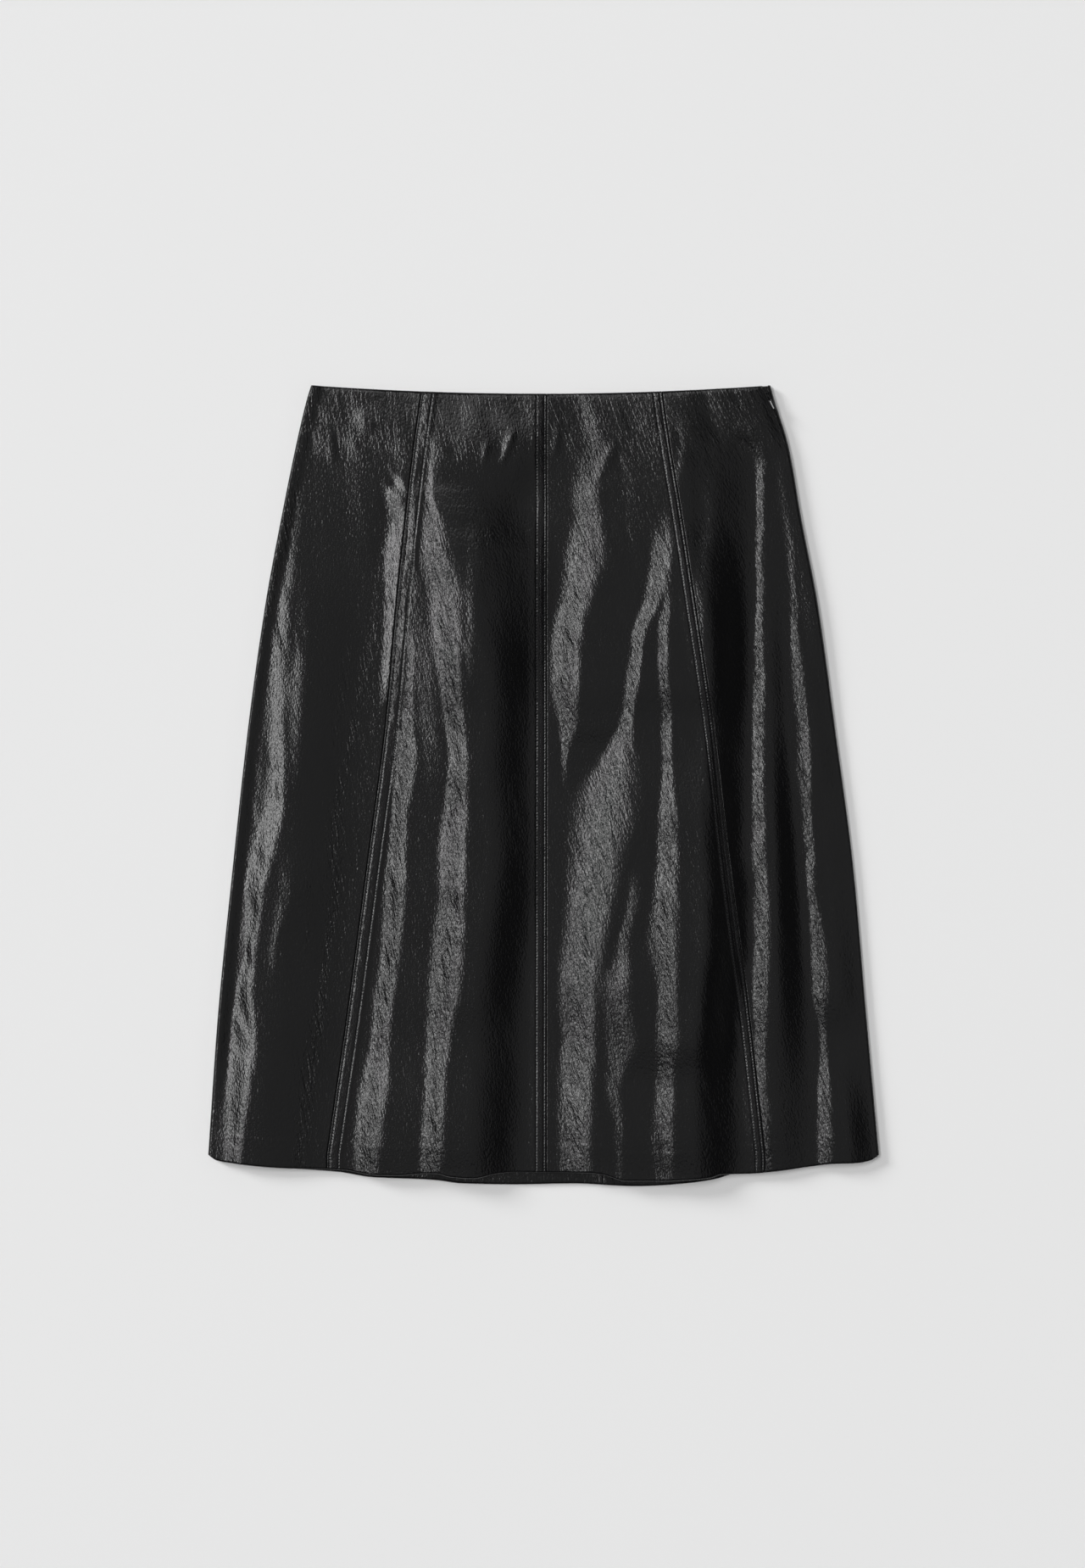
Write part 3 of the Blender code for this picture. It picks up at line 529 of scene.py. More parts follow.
clothMaterial = coatedClothMaterial()
tapeMaterial = plainMaterial("wovenTape", (0.012, 0.012, 0.013), 0.85, 0.0, 0.5, 0.08)
coilMaterial = plainMaterial("nylonCoil", (0.015, 0.015, 0.016), 0.4)
threadMaterial = plainMaterial("sewingThread", (0.024, 0.024, 0.026), 0.34, 0.0, 0.4, 0.03)
metalMaterial = plainMaterial("zipLacquer", (0.004, 0.004, 0.0045), 0.11, 0.0, 3.0, 0.002)
print("materials made")


# the gores
def world(across, at, height):
    return np.stack(np.broadcast_arrays(across * mm, (skirt["length"] / 2 - at) * mm, height * mm), -1)


def makeShell(name, outer, inner, cut, marks, facing=1):
    rows, columns = outer.shape[:2]
    count = rows * columns
    index = np.arange(count).reshape(rows, columns)
    faces = np.stack([index[:-1, :-1], index[1:, :-1], index[1:, 1:], index[:-1, 1:]], -1).reshape(-1, 4)
    loop = np.concatenate([index[:-1, 0], index[-1, :-1], index[:0:-1, -1], index[0, :0:-1]])
    ahead = np.roll(loop, -1)
    rim = np.stack([ahead, loop, loop + count, ahead + count], -1)
    faces = np.concatenate([faces, faces[:, ::-1] + count, rim])
    if facing < 0:
        faces = faces[:, ::-1]
    mesh = bpy.data.meshes.new(name)
    points = np.concatenate([outer.reshape(-1, 3), inner.reshape(-1, 3)])
    mesh.from_pydata(points.tolist(), [], faces.tolist())
    uv = mesh.uv_layers.new(name="cut")
    flat = np.concatenate([cut.reshape(-1, 2)] * 2)
    uv.data.foreach_set("uv", flat[faces.ravel()].astype(np.float32).ravel())
    for label, values in marks.items():
        attribute = mesh.attributes.new(label, "FLOAT", "POINT")
        attribute.data.foreach_set("value", np.concatenate([values.ravel()] * 2).astype(np.float32))
    mesh.shade_smooth()
    mesh.set_sharp_from_angle(angle=math.radians(seams["sharpFrom"]))
    mesh.validate()
    mesh.materials.append(clothMaterial)
    piece = bpy.data.objects.new(name, mesh)
    bpy.context.scene.collection.objects.link(piece)
    return piece


seams = {
    "curl": 0.8,                # how far the cloth turns down into a seam
    "curlWidth": 0.9,
    # lift of the allowance under the stitched band, and the width over which it runs out beyond it
    "bandLift": {"left": 0.40, "centre": 0.20, "right": 0.20},
    "bandFade": {"left": 4.5, "centre": 7.0, "right": 7.0},
    "grooveDepth": 0.16,        # of the cloth under a row of stitches
    "grooveWidth": 0.6,
    "puff": 0.10,               # how far the cloth stands up between two rows
    "pucker": {"left": 0.22, "centre": 0.07, "right": 0.06},
    "puckerWide": 3.6,
    "puckerLong": 4.6,
    "puckerWider": 6.0,         # a second, wider unevenness, its length and its share
    "puckerLonger": 11.04,
    "puckerShare": 0.6,
    "puckerCalm": (120, 260),   # where it grows less on the way down
    "puckerSeed": {"left": 31, "centre": 38, "right": 45},
    "notch": (46, 1.5, 0.22),   # where a small dent crosses the bands, its half width and depth
    "topEdge": 1.0,             # rounding of the waist edge
    "hemEdge": 1.1,
    "edgeRun": 1.4,             # length over which an edge is rounded
    "edgeShare": 0.48,          # most of the wall that the rounding of one face takes
    "sideEdgeShare": 0.45,
    "thinnest": 0.25,           # wall left at a seam
    "hemIn": (3, 7),            # from the side edge, where the hem's second layer begins
    "stepIn": (3, 9),
    "backCurlShare": 0.6,       # of the same curl at the back
    "backHemEdge": 1.0,
    "backEdgeRun": 1.6,
    "waveReach": 26,            # how far the back hem's waves reach up
    "stepEase": (-2.4, 0.4),    # where the ridge over the hem's turn rises
    "sharpFrom": 60,            # degrees
    "hemStep": 0.10,            # ridge where the turned-up hem ends
    "rows": {"left": (2.1, 9.6), "centre": (1.9, 8.3), "right": (2.1, 7.4)},
}


def roundOff(distance, depth, width=None):
    t = np.clip(distance / (width or depth), 0, 1)
    return depth * (1 - np.sqrt(1 - (1 - t) ** 2))


def evenSteps(start, end, step):
    return np.linspace(start, end, max(2, round((end - start) / step)) + 1)


def rowParts(coarse, hem):
    # the rows of a gore as parts of its length: close at the waist, the hem's turn and the hem edge
    long = hem - skirt["waistMean"]
    start = [0, 0.15, 0.4, 0.8, 1.4, 2.2, 3.4]
    turn = [long - skirt["hemTurn"] + step for step in (-2.4, -1.6, -1.0, -0.5, 0, 0.6, 1.4)]
    end = [long - step for step in (2.4, 1.5, 0.9, 0.4, 0.15, 0)]
    body = evenSteps(start[-1], turn[0], coarse)[1:-1]
    below = evenSteps(turn[-1], end[0], coarse)[1:-1]
    return np.array([*start, *body, *turn, *below, *end]) / long


def seamSteps(width, fine):
    # columns from a seam, close over its allowance
    near = np.concatenate([[0, 0.12, 0.35, 0.65, 1.0, 1.4], np.arange(1.9, fine, 0.5)])
    return near[near < width / 2]


def betweenSeams(left, right, hem, parts, fine, coarse):
    # a gore's rows: where they start and end, and their points, at fixed steps near both seams and with the
    # rest stretched to the gore's width
    start = lineAt(left, hem, parts)[0] + skirt["seamGap"] / 2
    end = lineAt(right, hem, parts)[0] - skirt["seamGap"] / 2
    width = float(np.mean(end - start))
    near = seamSteps(width, fine)
    columns = np.concatenate([
        near[:-1], evenSteps(near[-1], width - near[-1], coarse), (width - near[:-1])[::-1]])
    blend = ease(fine, width - fine, columns)
    fromEnd = end[:, None] - start[:, None] - (width - columns)
    return start, end, start[:, None] + columns * (1 - blend) + fromEnd * blend


def hemThickness(hem, across, at):
    return skirt["wall"] * ease(-1.5, 0, at + skirt["hemTurn"] - hemAt(hem, across))


def bandShape(distance, at, name):
    # lift of a stitched allowance at a distance from its seam
    first, second = seams["rows"][name]
    fade = second + seams["grooveWidth"]
    lift = seams["bandLift"][name] * (1 - ease(fade, fade + seams["bandFade"][name], distance))
    for row in (first, second):
        lift = lift - seams["grooveDepth"] * np.exp(-((distance - row) / seams["grooveWidth"]) ** 2)
    between = np.clip((distance - first) / (second - first), 0, 1)
    lift = lift + seams["puff"] * np.sin(math.pi * between)
    seed, share = seams["puckerSeed"][name], seams["puckerShare"]
    pull = noiseAt(distance / seams["puckerWide"], at / seams["puckerLong"], seed)
    pull = pull + share * noiseAt(distance / seams["puckerWider"], at / seams["puckerLonger"], seed + 1)
    strength = seams["pucker"][name] * (1 - share * ease(*seams["puckerCalm"], at))
    place, wide, deep = seams["notch"]
    lift = lift - deep * np.exp(-((at - place) / wide) ** 2) * np.sin(math.pi * between)
    return lift + strength * pull * np.sin(math.pi * between)


def marksAt(across, at, edges, folded):
    # for each point the nearest stitch row: how far it lies off it, and how far along it is
    places = np.arange(0, skirt["length"] - 1)
    best = np.full(across.shape, 1.0)
    along = np.zeros(across.shape)
    for line, sign, name in edges:
        for row in seams["rows"][name]:
            centre = curveAt(down, line, at) + sign * row
            off = (across - centre) * mm
            nearer = np.abs(off) < np.abs(best)
            best = np.where(nearer, off, best)
            lean = np.gradient(curveAt(down, line, places))
            length = np.concatenate([[0], np.cumsum(np.sqrt(1 + lean[1:] ** 2))])
            along = np.where(nearer, np.interp(at, places, length) * mm, along)
    return {"stitchOff": best, "stitchAlong": along, "folded": folded * np.ones_like(best)}


# spacing of the shells' points in mm, and their count round a rolled edge
goreStep = {
    "across": 1.5,
    "down": 3.0,
    "backAcross": 4.0,
    "backDown": 6.0,
    "fine": 13.0,           # width along a seam with fixed steps
    "sideFine": 6.0,
    "backFine": 4.0,
    "rolled": 14,
    "zipRolled": 26,
    "rolledEven": 0.8,      # below 1, the points lie closer at the rim
    "pastRoll": 0.8,        # how far the rolled columns go past the bend
    "leastLip": 1.5,        # least width of them above the zip
}


def frontCentre(name, left, right, bands):
    parts = rowParts(goreStep["down"], skirt["front"])
    start, end, across = betweenSeams(left, right, frontHem, parts, goreStep["fine"], goreStep["across"])
    at = downAt(frontHem, across, parts[:, None])
    height, folded = frontShape(across, at)
    wall = skirt["wall"] + hemThickness(frontHem, across, at)
    edges = []
    for side, line, sign, edge in (("left", left, 1, start), ("right", right, -1, end)):
        distance = sign * (across - edge[:, None])
        if side in bands:
            lift = bandShape(distance, at, bands[side])
            height, wall = height + lift, np.maximum(wall, skirt["wall"] + lift)
            edges.append((line, sign, bands[side]))
        curl = roundOff(distance, seams["curl"], seams["curlWidth"])
        height, wall = height - curl, np.maximum(wall - curl, seams["thinnest"])
    marks = marksAt(across, at, edges, folded)
    return finishFront(name, across, at, height, wall, parts, marks, (start + end) / 2)


def finishFront(name, across, at, height, wall, parts, marks, centre):
    hem = hemAt(frontHem, across)
    height = height + seams["hemStep"] * ease(*seams["stepEase"], at + skirt["hemTurn"] - hem)
    top = parts[:, None] * (hem - skirt["waistMean"])
    bottom = (1 - parts[:, None]) * (hem - skirt["waistMean"])
    under = height - wall
    for distance, depth in ((top, seams["topEdge"]), (bottom, seams["hemEdge"])):
        depth = np.minimum(depth, seams["edgeShare"] * wall)
        off = roundOff(distance, depth, seams["edgeRun"])
        height, under = height - off, under + off
    cut = np.stack([(across - centre[:, None]) * mm, -at * mm], -1)
    return makeShell(name, world(across, at, height), world(across, at, under), cut, marks)


def quarterOf(roll):
    return skirt["flank"] + (roll - skirt["flank"]) * math.pi / 2


def edgePoint(along, roll, depth=0.0):
    # inset and height on a rolled edge, at a distance along it from its outermost line
    bend = roll - skirt["flank"]
    angle = np.clip((np.abs(along) - skirt["flank"]) / bend, 0, math.pi / 2)
    height = np.minimum(np.abs(along), skirt["flank"]) + (bend - depth) * np.sin(angle)
    inset = bend - (bend - depth) * np.cos(angle) + np.maximum(0, np.abs(along) - quarterOf(roll))
    return inset, roll + np.sign(along) * height


# the zip line in the right side seam, and how far its lips part, at these distances down
zipLine = {
    "down": (0, 5, 8, 12, 15, 22, 36, 50, 80, 105, 130, 645),
    "along": (5.7, 6.1, 6.4, 6.6, 6.3, 5.2, 4.7, 4.0, 2.6, 1.2, 0.0, 0.0),
    "frontLip": (3.4, 2.0, 0.95, 0.95, 0.3, 0.2, 0.15, 0.1, 0.08, 0.05, 0.05, 0.05),
    "backLip": (1.8, 1.2, 0.95, 0.95, 0.3, 0.2, 0.15, 0.1, 0.08, 0.05, 0.05, 0.05),
    "moreRows": (5, 6.5, 8, 9.5, 11, 12.5, 14, 15.5, 17.5, 20),     # of points, beside the slider
}


backFolded = 0.4                # how strongly the back's wrinkles show


def padded(values, count):
    # the values of the rolled edge, with room on the left for the flat columns
    return np.concatenate([np.repeat(values[:, :1], count, 1), values], 1)


def sideGore(name, hem, seam, outline, rollTable, sign, face, zipped):
    # sign is -1 on the left side, and face is -1 at the back
    parts = rowParts(goreStep["down"] if face > 0 or zipped else goreStep["backDown"], skirt["side"])
    if zipped:
        more = np.array(zipLine["moreRows"]) / (skirt["side"] - skirt["waistMean"])
        parts = np.unique(np.concatenate([parts, more]))
    edge, edgeDown = lineAt(outline, hem, parts)
    start, _ = lineAt(seam, hem, parts)
    start = start + sign * skirt["seamGap"] / 2
    roll = curveAt(down, rollTable, edgeDown)
    rim, opening = np.zeros_like(parts), np.full_like(parts, skirt["seamGap"] / 2)
    if zipped:
        rim = curveAt(zipLine["down"], zipLine["along"], edgeDown)
        opening = curveAt(zipLine["down"], zipLine["frontLip" if face > 0 else "backLip"], edgeDown)
    rim = rim + face * opening
    steps = goreStep["zipRolled" if zipped else "rolled"]
    far = face * (quarterOf(roll) + goreStep["pastRoll"])
    if face > 0:
        far = np.maximum(far, rim + goreStep["leastLip"])
    near = np.linspace(0, 1, steps) ** goreStep["rolledEven"]
    along = far[:, None] + (rim - far)[:, None] * near[None]
    inset, height = edgePoint(along, roll[:, None])
    insetIn, heightIn = edgePoint(along, roll[:, None], skirt["wall"])
    across, acrossIn = edge[:, None] - sign * inset, edge[:, None] - sign * insetIn
    wide = sign * (across[:, 0] - start)
    middle = float(np.mean(wide))
    coarse = goreStep["across"] if face > 0 else goreStep["backAcross"]
    close = seamSteps(middle, goreStep["sideFine"])
    columns = np.concatenate([close[:-1], evenSteps(close[-1], middle, coarse)[:-1]])
    blend = ease(goreStep["sideFine"], middle, columns)
    fromEdge = wide[:, None] - (middle - columns)
    flatAcross = start[:, None] + sign * (columns * (1 - blend) + fromEdge * blend)
    rolled = np.concatenate([np.zeros(len(columns), bool), np.ones(steps, bool)])
    across = np.concatenate([flatAcross, across], 1)
    at = downAt(hem, across, parts[:, None])
    onTop = ~rolled[None] | ((padded(inset, len(columns)) >= roll[:, None]) & (face > 0) & rolled[None])
    shape, folded = np.zeros_like(across), backFolded
    if face > 0:
        shape, folded = frontShape(across, at)
    height = np.where(onTop, shape, padded(height, len(columns)))
    curl = roundOff(sign * (across - start[:, None]), seams["curl"], seams["curlWidth"])
    # the second layer of the hem ends before the rolled edge
    inner = ease(*seams["hemIn"], np.abs(edge[:, None] - across))
    wall = skirt["wall"] + hemThickness(hem, across, at) * inner
    hemLine = hemAt(hem, across)
    if face > 0:
        height = height - np.where(onTop, curl, 0)
        turn = ease(*seams["stepEase"], at + skirt["hemTurn"] - hemLine)
        turn = turn * ease(*seams["stepIn"], np.abs(edge[:, None] - across))
        height = height + np.where(onTop, 1, 0) * seams["hemStep"] * turn
        wall = np.maximum(wall - curl, seams["thinnest"])
        under = np.where(onTop, height - wall, padded(heightIn, len(columns)))
    else:
        under = np.where(onTop, wall - curl, padded(heightIn, len(columns)))
    acrossIn = np.where(onTop, across, np.concatenate([flatAcross, acrossIn], 1))
    top = parts[:, None] * (hemLine - skirt["waistMean"])
    bottom = (1 - parts[:, None]) * (hemLine - skirt["waistMean"])
    for distance, depth in ((top, seams["topEdge"]), (bottom, seams["hemEdge"])):
        depth = np.minimum(depth, seams["sideEdgeShare"] * np.abs(height - under))
        off = roundOff(distance, depth, seams["edgeRun"]) * np.where(onTop, 1, 0)
        if face > 0:
            height, under = height - off, under + off
        else:
            under = under - off
    centre = (start + edge) / 2
    cut = np.stack([(across - centre[:, None]) * mm + 0.4 * sign, -at * mm], -1)
    marks = marksAt(across, at, (), folded)
    outer, inner = world(across, at, height), world(acrossIn, at, under)
    if sign < 0:
        outer, inner, cut = outer[:, ::-1], inner[:, ::-1], cut[:, ::-1]
    return makeShell(name, outer, inner, cut, marks, face)


# waves of the back's hem: place across, half width and lift
backWaves = ((-94, 9, 0.9), (52, 8, 1.0), (104, 10, 0.8), (-40, 24, 0.25), (10, 30, 0.2))


def backCentreGore(name, left, right):
    parts = rowParts(goreStep["backDown"], skirt["back"])
    start, end, across = betweenSeams(
        left, right, backHem, parts, goreStep["backFine"], goreStep["backAcross"])
    at = downAt(backHem, across, parts[:, None])
    hem = hemAt(backHem, across)
    under = np.zeros_like(across)
    top = skirt["wall"] + hemThickness(backHem, across, at)
    for edge, sign in ((start, 1), (end, -1)):
        curl = roundOff(sign * (across - edge[:, None]), seams["curl"], seams["curlWidth"])
        top = top - seams["backCurlShare"] * curl
    bottom = (1 - parts[:, None]) * (hem - skirt["waistMean"])
    top = top - roundOff(bottom, seams["backHemEdge"], seams["backEdgeRun"])
    for place, wide, lift in backWaves:
        wave = lift * np.exp(-((across - place) / wide) ** 2) * ease(-seams["waveReach"], 0, at - hem)
        top, under = top + wave, under + wave
    centre = (start + end) / 2
    cut = np.stack([(across - centre[:, None]) * mm, -at * mm], -1)
    marks = marksAt(across, at, (), backFolded)
    return makeShell(name, world(across, at, under), world(across, at, top), cut, marks, -1)


leftSide = (outlineLeft, rollLeft, -1)
rightSide = (outlineRight, rollRight, 1)
gores = {
    "front_centre_left": frontCentre(
        "frontCentreLeft", princessLeft, centreSeam, {"left": "left", "right": "centre"}),
    "front_centre_right": frontCentre("frontCentreRight", centreSeam, princessRight, {"right": "right"}),
    "front_side_left": sideGore("frontSideLeft", frontHem, princessLeft, *leftSide, 1, False),
    "front_side_right": sideGore("frontSideRight", frontHem, princessRight, *rightSide, 1, True),
    "back_side_left": sideGore("backSideLeft", backHem, backPrincessLeft, *leftSide, -1, False),
    "back_side_right": sideGore("backSideRight", backHem, backPrincessRight, *rightSide, -1, True),
    "back_centre_left": backCentreGore("backCentreLeft", backPrincessLeft, backCentre),
    "back_centre_right": backCentreGore("backCentreRight", backCentre, backPrincessRight),
}
goreLines = {
    "front_centre_left": (princessLeft, centreSeam),
    "front_centre_right": (centreSeam, princessRight),
    "front_side_left": (outlineLeft, princessLeft),
    "front_side_right": (princessRight, outlineRight),
    "back_side_left": (outlineLeft, backPrincessLeft),
    "back_side_right": (backPrincessRight, outlineRight),
    "back_centre_left": (backPrincessLeft, backCentre),
    "back_centre_right": (backCentre, backPrincessRight),
}
places = np.arange(0, skirt["side"])
for node, piece in gores.items():
    left, right = goreLines[node]
    widths = curveAt(down, right, places) - curveAt(down, left, places)
    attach(piece, "skirt")
    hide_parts(node)
    print(node, len(piece.data.polygons), "faces")
print("gores made")

thread = {
    "pitch": 2.45,          # mm from one stitch to the next
    "length": 1.75,
    "width": 0.46,
    "start": 2.4,           # below the waist edge
    "end": 0.8,             # above the hem edge
    "sink": 0.06,           # how far the thread lies in the cloth
}


def rowPath(line, sign, name, row):
    # points along one row of stitches, on the cloth
    at = np.arange(0, skirt["length"] - 1, 1.5)
    across = curveAt(down, line, at) + sign * row
    keep = (at > waistAt(across) + thread["start"]) & (at < hemAt(frontHem, across) - thread["end"])
    at, across = at[keep], across[keep]
    distance = np.full_like(at, row) - skirt["seamGap"] / 2
    height = frontShape(across, at)[0] + bandShape(distance, at, name)
    height = height - roundOff(distance, seams["curl"], seams["curlWidth"])
    turn = at + skirt["hemTurn"] - hemAt(frontHem, across)
    height = height + seams["hemStep"] * ease(*seams["stepEase"], turn)
    height = height + thread["width"] / 2 - thread["sink"]
    return world(across, at, height)


def rowTree(name, cored):
    # small beads along paths, for stitches and zip teeth; a cored tree also makes a cord through them
    tree = bpy.data.node_groups.new(name, "GeometryNodeTree")
    tree.interface.new_socket("Geometry", in_out="INPUT", socket_type="NodeSocketGeometry")
    for label in ("Pitch", "Length", "Width", "Height") + (("Core",) if cored else ()):
        tree.interface.new_socket(label, in_out="INPUT", socket_type="NodeSocketFloat")
    tree.interface.new_socket("Material", in_out="INPUT", socket_type="NodeSocketMaterial")
    tree.interface.new_socket("Geometry", in_out="OUTPUT", socket_type="NodeSocketGeometry")
    nodes = Nodes(tree)
    given = nodes.add("NodeGroupInput").outputs
    path = nodes.add("GeometryNodeMeshToCurve", None, {"Mesh": given["Geometry"]})
    spaced = nodes.add("GeometryNodeResampleCurve", {"mode": "LENGTH"}, {
        "Curve": path.outputs[0], "Length": given["Pitch"]})
    tangent = nodes.add("GeometryNodeInputTangent")
    turned = nodes.add("FunctionNodeAlignRotationToVector", {"axis": "X"}, {"Vector": tangent.outputs[0]})
    bead = nodes.add("GeometryNodeMeshUVSphere", None, {
        "Segments": 8 if cored else 6, "Rings": 5 if cored else 4, "Radius": 0.5})
    size = nodes.add("ShaderNodeCombineXYZ", None, {
        0: given["Length"], 1: given["Width"], 2: given["Height"]})
    placed = nodes.add("GeometryNodeInstanceOnPoints", None, {
        "Points": spaced.outputs[0], "Instance": bead.outputs[0], "Rotation": turned.outputs[0],
        "Scale": size.outputs[0]})
    made = placed.outputs[0]
    if cored:
        ring = nodes.add("GeometryNodeCurvePrimitiveCircle", None, {
            "Resolution": 8, "Radius": given["Core"]})
        cord = nodes.add("GeometryNodeCurveToMesh", None, {
            "Curve": path.outputs[0], "Profile Curve": ring.outputs[0], "Fill Caps": True})
        both = nodes.add("GeometryNodeJoinGeometry", None, {"Geometry": placed.outputs[0]})
        tree.links.new(cord.outputs[0], both.inputs[0])
        made = both.outputs[0]
    real = nodes.add("GeometryNodeRealizeInstances", None, {"Geometry": made})
    smooth = nodes.add("GeometryNodeSetShadeSmooth", None, {0: real.outputs[0]})
    done = nodes.add("GeometryNodeSetMaterial", None, {
        "Geometry": smooth.outputs[0], "Material": given["Material"]})
    nodes.add("NodeGroupOutput", None, {"Geometry": done.outputs[0]})
    return tree


def grown(name, paths, tree, inputs):
    # a plain mesh of what the tree makes along the paths
    points = np.concatenate(paths)
    edges, first = [], 0
    for path in paths:
        edges += [(first + i, first + i + 1) for i in range(len(path) - 1)]
        first += len(path)
    base = bpy.data.meshes.new(name)
    base.from_pydata(points.tolist(), edges, [])
    carrier = bpy.data.objects.new(name, base)
    bpy.context.scene.collection.objects.link(carrier)
    modifier = carrier.modifiers.new(name, "NODES")
    modifier.node_group = tree
    sockets = {item.name: item.identifier for item in tree.interface.items_tree if item.in_out == "INPUT"}
    for label, value in inputs.items():
        modifier[sockets[label]] = value
    graph = bpy.context.evaluated_depsgraph_get()
    made = bpy.data.meshes.new_from_object(carrier.evaluated_get(graph))
    carrier.modifiers.remove(modifier)
    made.name = name
    carrier.data = made
    bpy.data.meshes.remove(base)
    return carrier


stitchLines = (
    (princessLeft, 1, "left", 0), (princessLeft, 1, "left", 1),
    (centreSeam, -1, "centre", 0), (centreSeam, -1, "centre", 1),
    (princessRight, -1, "right", 0), (princessRight, -1, "right", 1),
)
stitchPaths = [rowPath(line, sign, name, seams["rows"][name][i]) for line, sign, name, i in stitchLines]
topstitching = grown(
    "topstitching", stitchPaths, rowTree("stitchRows", False), {
        "Pitch": thread["pitch"] * mm, "Length": thread["length"] * mm, "Width": thread["width"] * mm,
        "Height": thread["width"] * mm, "Material": threadMaterial})
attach(topstitching, "skirt")
print("stitches made,", len(topstitching.data.polygons), "faces")

zipCoil = {
    "start": 16.0,          # down from the waist corner, just under the slider
    "end": 191.6,
    "inset": 4.4,           # least distance from the side edge to the middle of the chain
    "height": 3.85,         # of its middle
    "pitch": 1.25,          # from one tooth to the next of the same side
    "toothLength": 0.82,
    "toothWidth": 1.6,
    "toothHeight": 1.95,
    "stagger": 0.36,        # from the middle of the chain to the middle of a tooth
    "core": 0.42,           # radius of the cord inside
}


def zipInset(at):
    # how far in from the side edge the zip line lies
    return edgePoint(curveAt(zipLine["down"], zipLine["along"], at), curveAt(down, rollRight, at))[0]


def coilPath(side):
    at = np.arange(zipCoil["start"] + (side + 1) * zipCoil["pitch"] / 4, zipCoil["end"], 1.2)
    across = curveAt(down, outlineRight, at) - np.maximum(zipInset(at), zipCoil["inset"])
    return world(across + side * zipCoil["stagger"], at, np.full_like(at, zipCoil["height"]))


coil = grown(
    "zipCoil", [coilPath(-1), coilPath(1)], rowTree("zipTeeth", True), {
        "Pitch": zipCoil["pitch"] * mm, "Length": zipCoil["toothLength"] * mm,
        "Width": zipCoil["toothWidth"] * mm, "Height": zipCoil["toothHeight"] * mm,
        "Core": zipCoil["core"] * mm, "Material": coilMaterial})
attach(coil, "skirt")
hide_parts("zip_coil")

pullTab = {
    "hingeDown": 10.2,
    "hingeHeight": 7.15,
    "turn": 26,             # degrees, of its length from straight down towards the right
    "lean": 13,             # degrees, of its face towards the left
    "pitch": 4,             # degrees, of its tail off the cloth
    "length": 11.8,
    "width": 4.0,
    "neck": 2.4,
    "wall": 0.8,
    "dome": 0.24,           # lift of its middle, and over what half width
    "domeHalf": 2.0,
    "rim": (0.55, 0.26),    # width and depth of its rounded rim
    "eye": (0.4, 2.3, 0.7), # start and end along the tab, and half width
    "around": 72,
    "rings": 14,
}


def pullOutline(angle):
    # distance from the middle of the eye to the outline, in a direction
    neck, wide = pullTab["neck"] / 2, pullTab["width"] / 2
    top, centre = neck - pullTab["wall"] / 2, pullTab["length"] - wide - pullTab["wall"] / 2
    eye = (pullTab["eye"][0] + pullTab["eye"][1]) / 2
    reach = np.linspace(0, 12, 2401)
    x, y = eye + reach * math.cos(angle), reach * abs(math.sin(angle))
    part = np.clip((x - top) / (centre - top), 0, 1)
    inside = np.hypot(x - (top + (centre - top) * part), y) < neck + (wide - neck) * part
    return float(reach[inside].max())


def makePull():
    # half a section at each angle round the eye, then the same for the other face
    start, end, eyeHalf = pullTab["eye"]
    middle = (start + end) / 2
    count, rings = pullTab["around"], pullTab["rings"]
    angles = np.linspace(0, 2 * math.pi, count, endpoint=False)
    outer = np.array([pullOutline(a) for a in angles])
    # the eye is a rectangle with round corners
    long, wide = np.abs(np.cos(angles)) / ((end - start) / 2), np.abs(np.sin(angles)) / eyeHalf
    inner = 1 / (long ** 4 + wide ** 4) ** 0.25
    part = np.linspace(0, 1, rings) ** 0.8
    reach = inner[None] + (outer - inner)[None] * part[:, None]
    x, y = middle + reach * np.cos(angles)[None], reach * np.sin(angles)[None]
    rim = np.minimum(reach - inner[None], outer[None] - reach)
    wide, deep = pullTab["rim"]
    z = pullTab["wall"] / 2 - deep + deep * np.sqrt(1 - (1 - np.clip(rim / wide, 0, 1)) ** 2)
    z = z + pullTab["dome"] * np.clip(1 - (y / pullTab["domeHalf"]) ** 2, 0, 1) * ease(0, 0.6, rim)
    points = np.concatenate([np.stack([x, y, z], -1), np.stack([x, y, -z], -1)[::-1]])
    index = np.arange(points.shape[0] * count).reshape(-1, count)
    ahead = np.roll(index, -1, 1)
    nextRow, nextAhead = np.roll(index, -1, 0), np.roll(ahead, -1, 0)
    faces = np.stack([index, nextRow, nextAhead, ahead], -1).reshape(-1, 4)
    at = pullTab["hingeDown"]
    edge = float(curveAt(down, outlineRight, at) - zipInset(at))
    turn, lean, pitch = (math.radians(pullTab[key]) for key in ("turn", "lean", "pitch"))
    place = Matrix.Translation((edge, skirt["length"] / 2 - at, pullTab["hingeHeight"]))
    place = place @ Matrix.Rotation(turn - math.pi / 2, 4, "Z") @ Matrix.Rotation(-pitch, 4, "Y")
    place = place @ Matrix.Rotation(lean, 4, "X")
    mesh = bpy.data.meshes.new("pullTab")
    mesh.from_pydata([(place @ Vector(p)) * mm for p in points.reshape(-1, 3).tolist()], [], faces.tolist())
    mesh.validate()
    mesh.shade_smooth()
    mesh.materials.append(metalMaterial)
    piece = bpy.data.objects.new("pullTab", mesh)
    bpy.context.scene.collection.objects.link(piece)
    return piece


pull = makePull()
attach(pull, "pull_tab")
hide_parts("zip_pull")
print("zip made,", len(coil.data.polygons), "faces in its teeth")


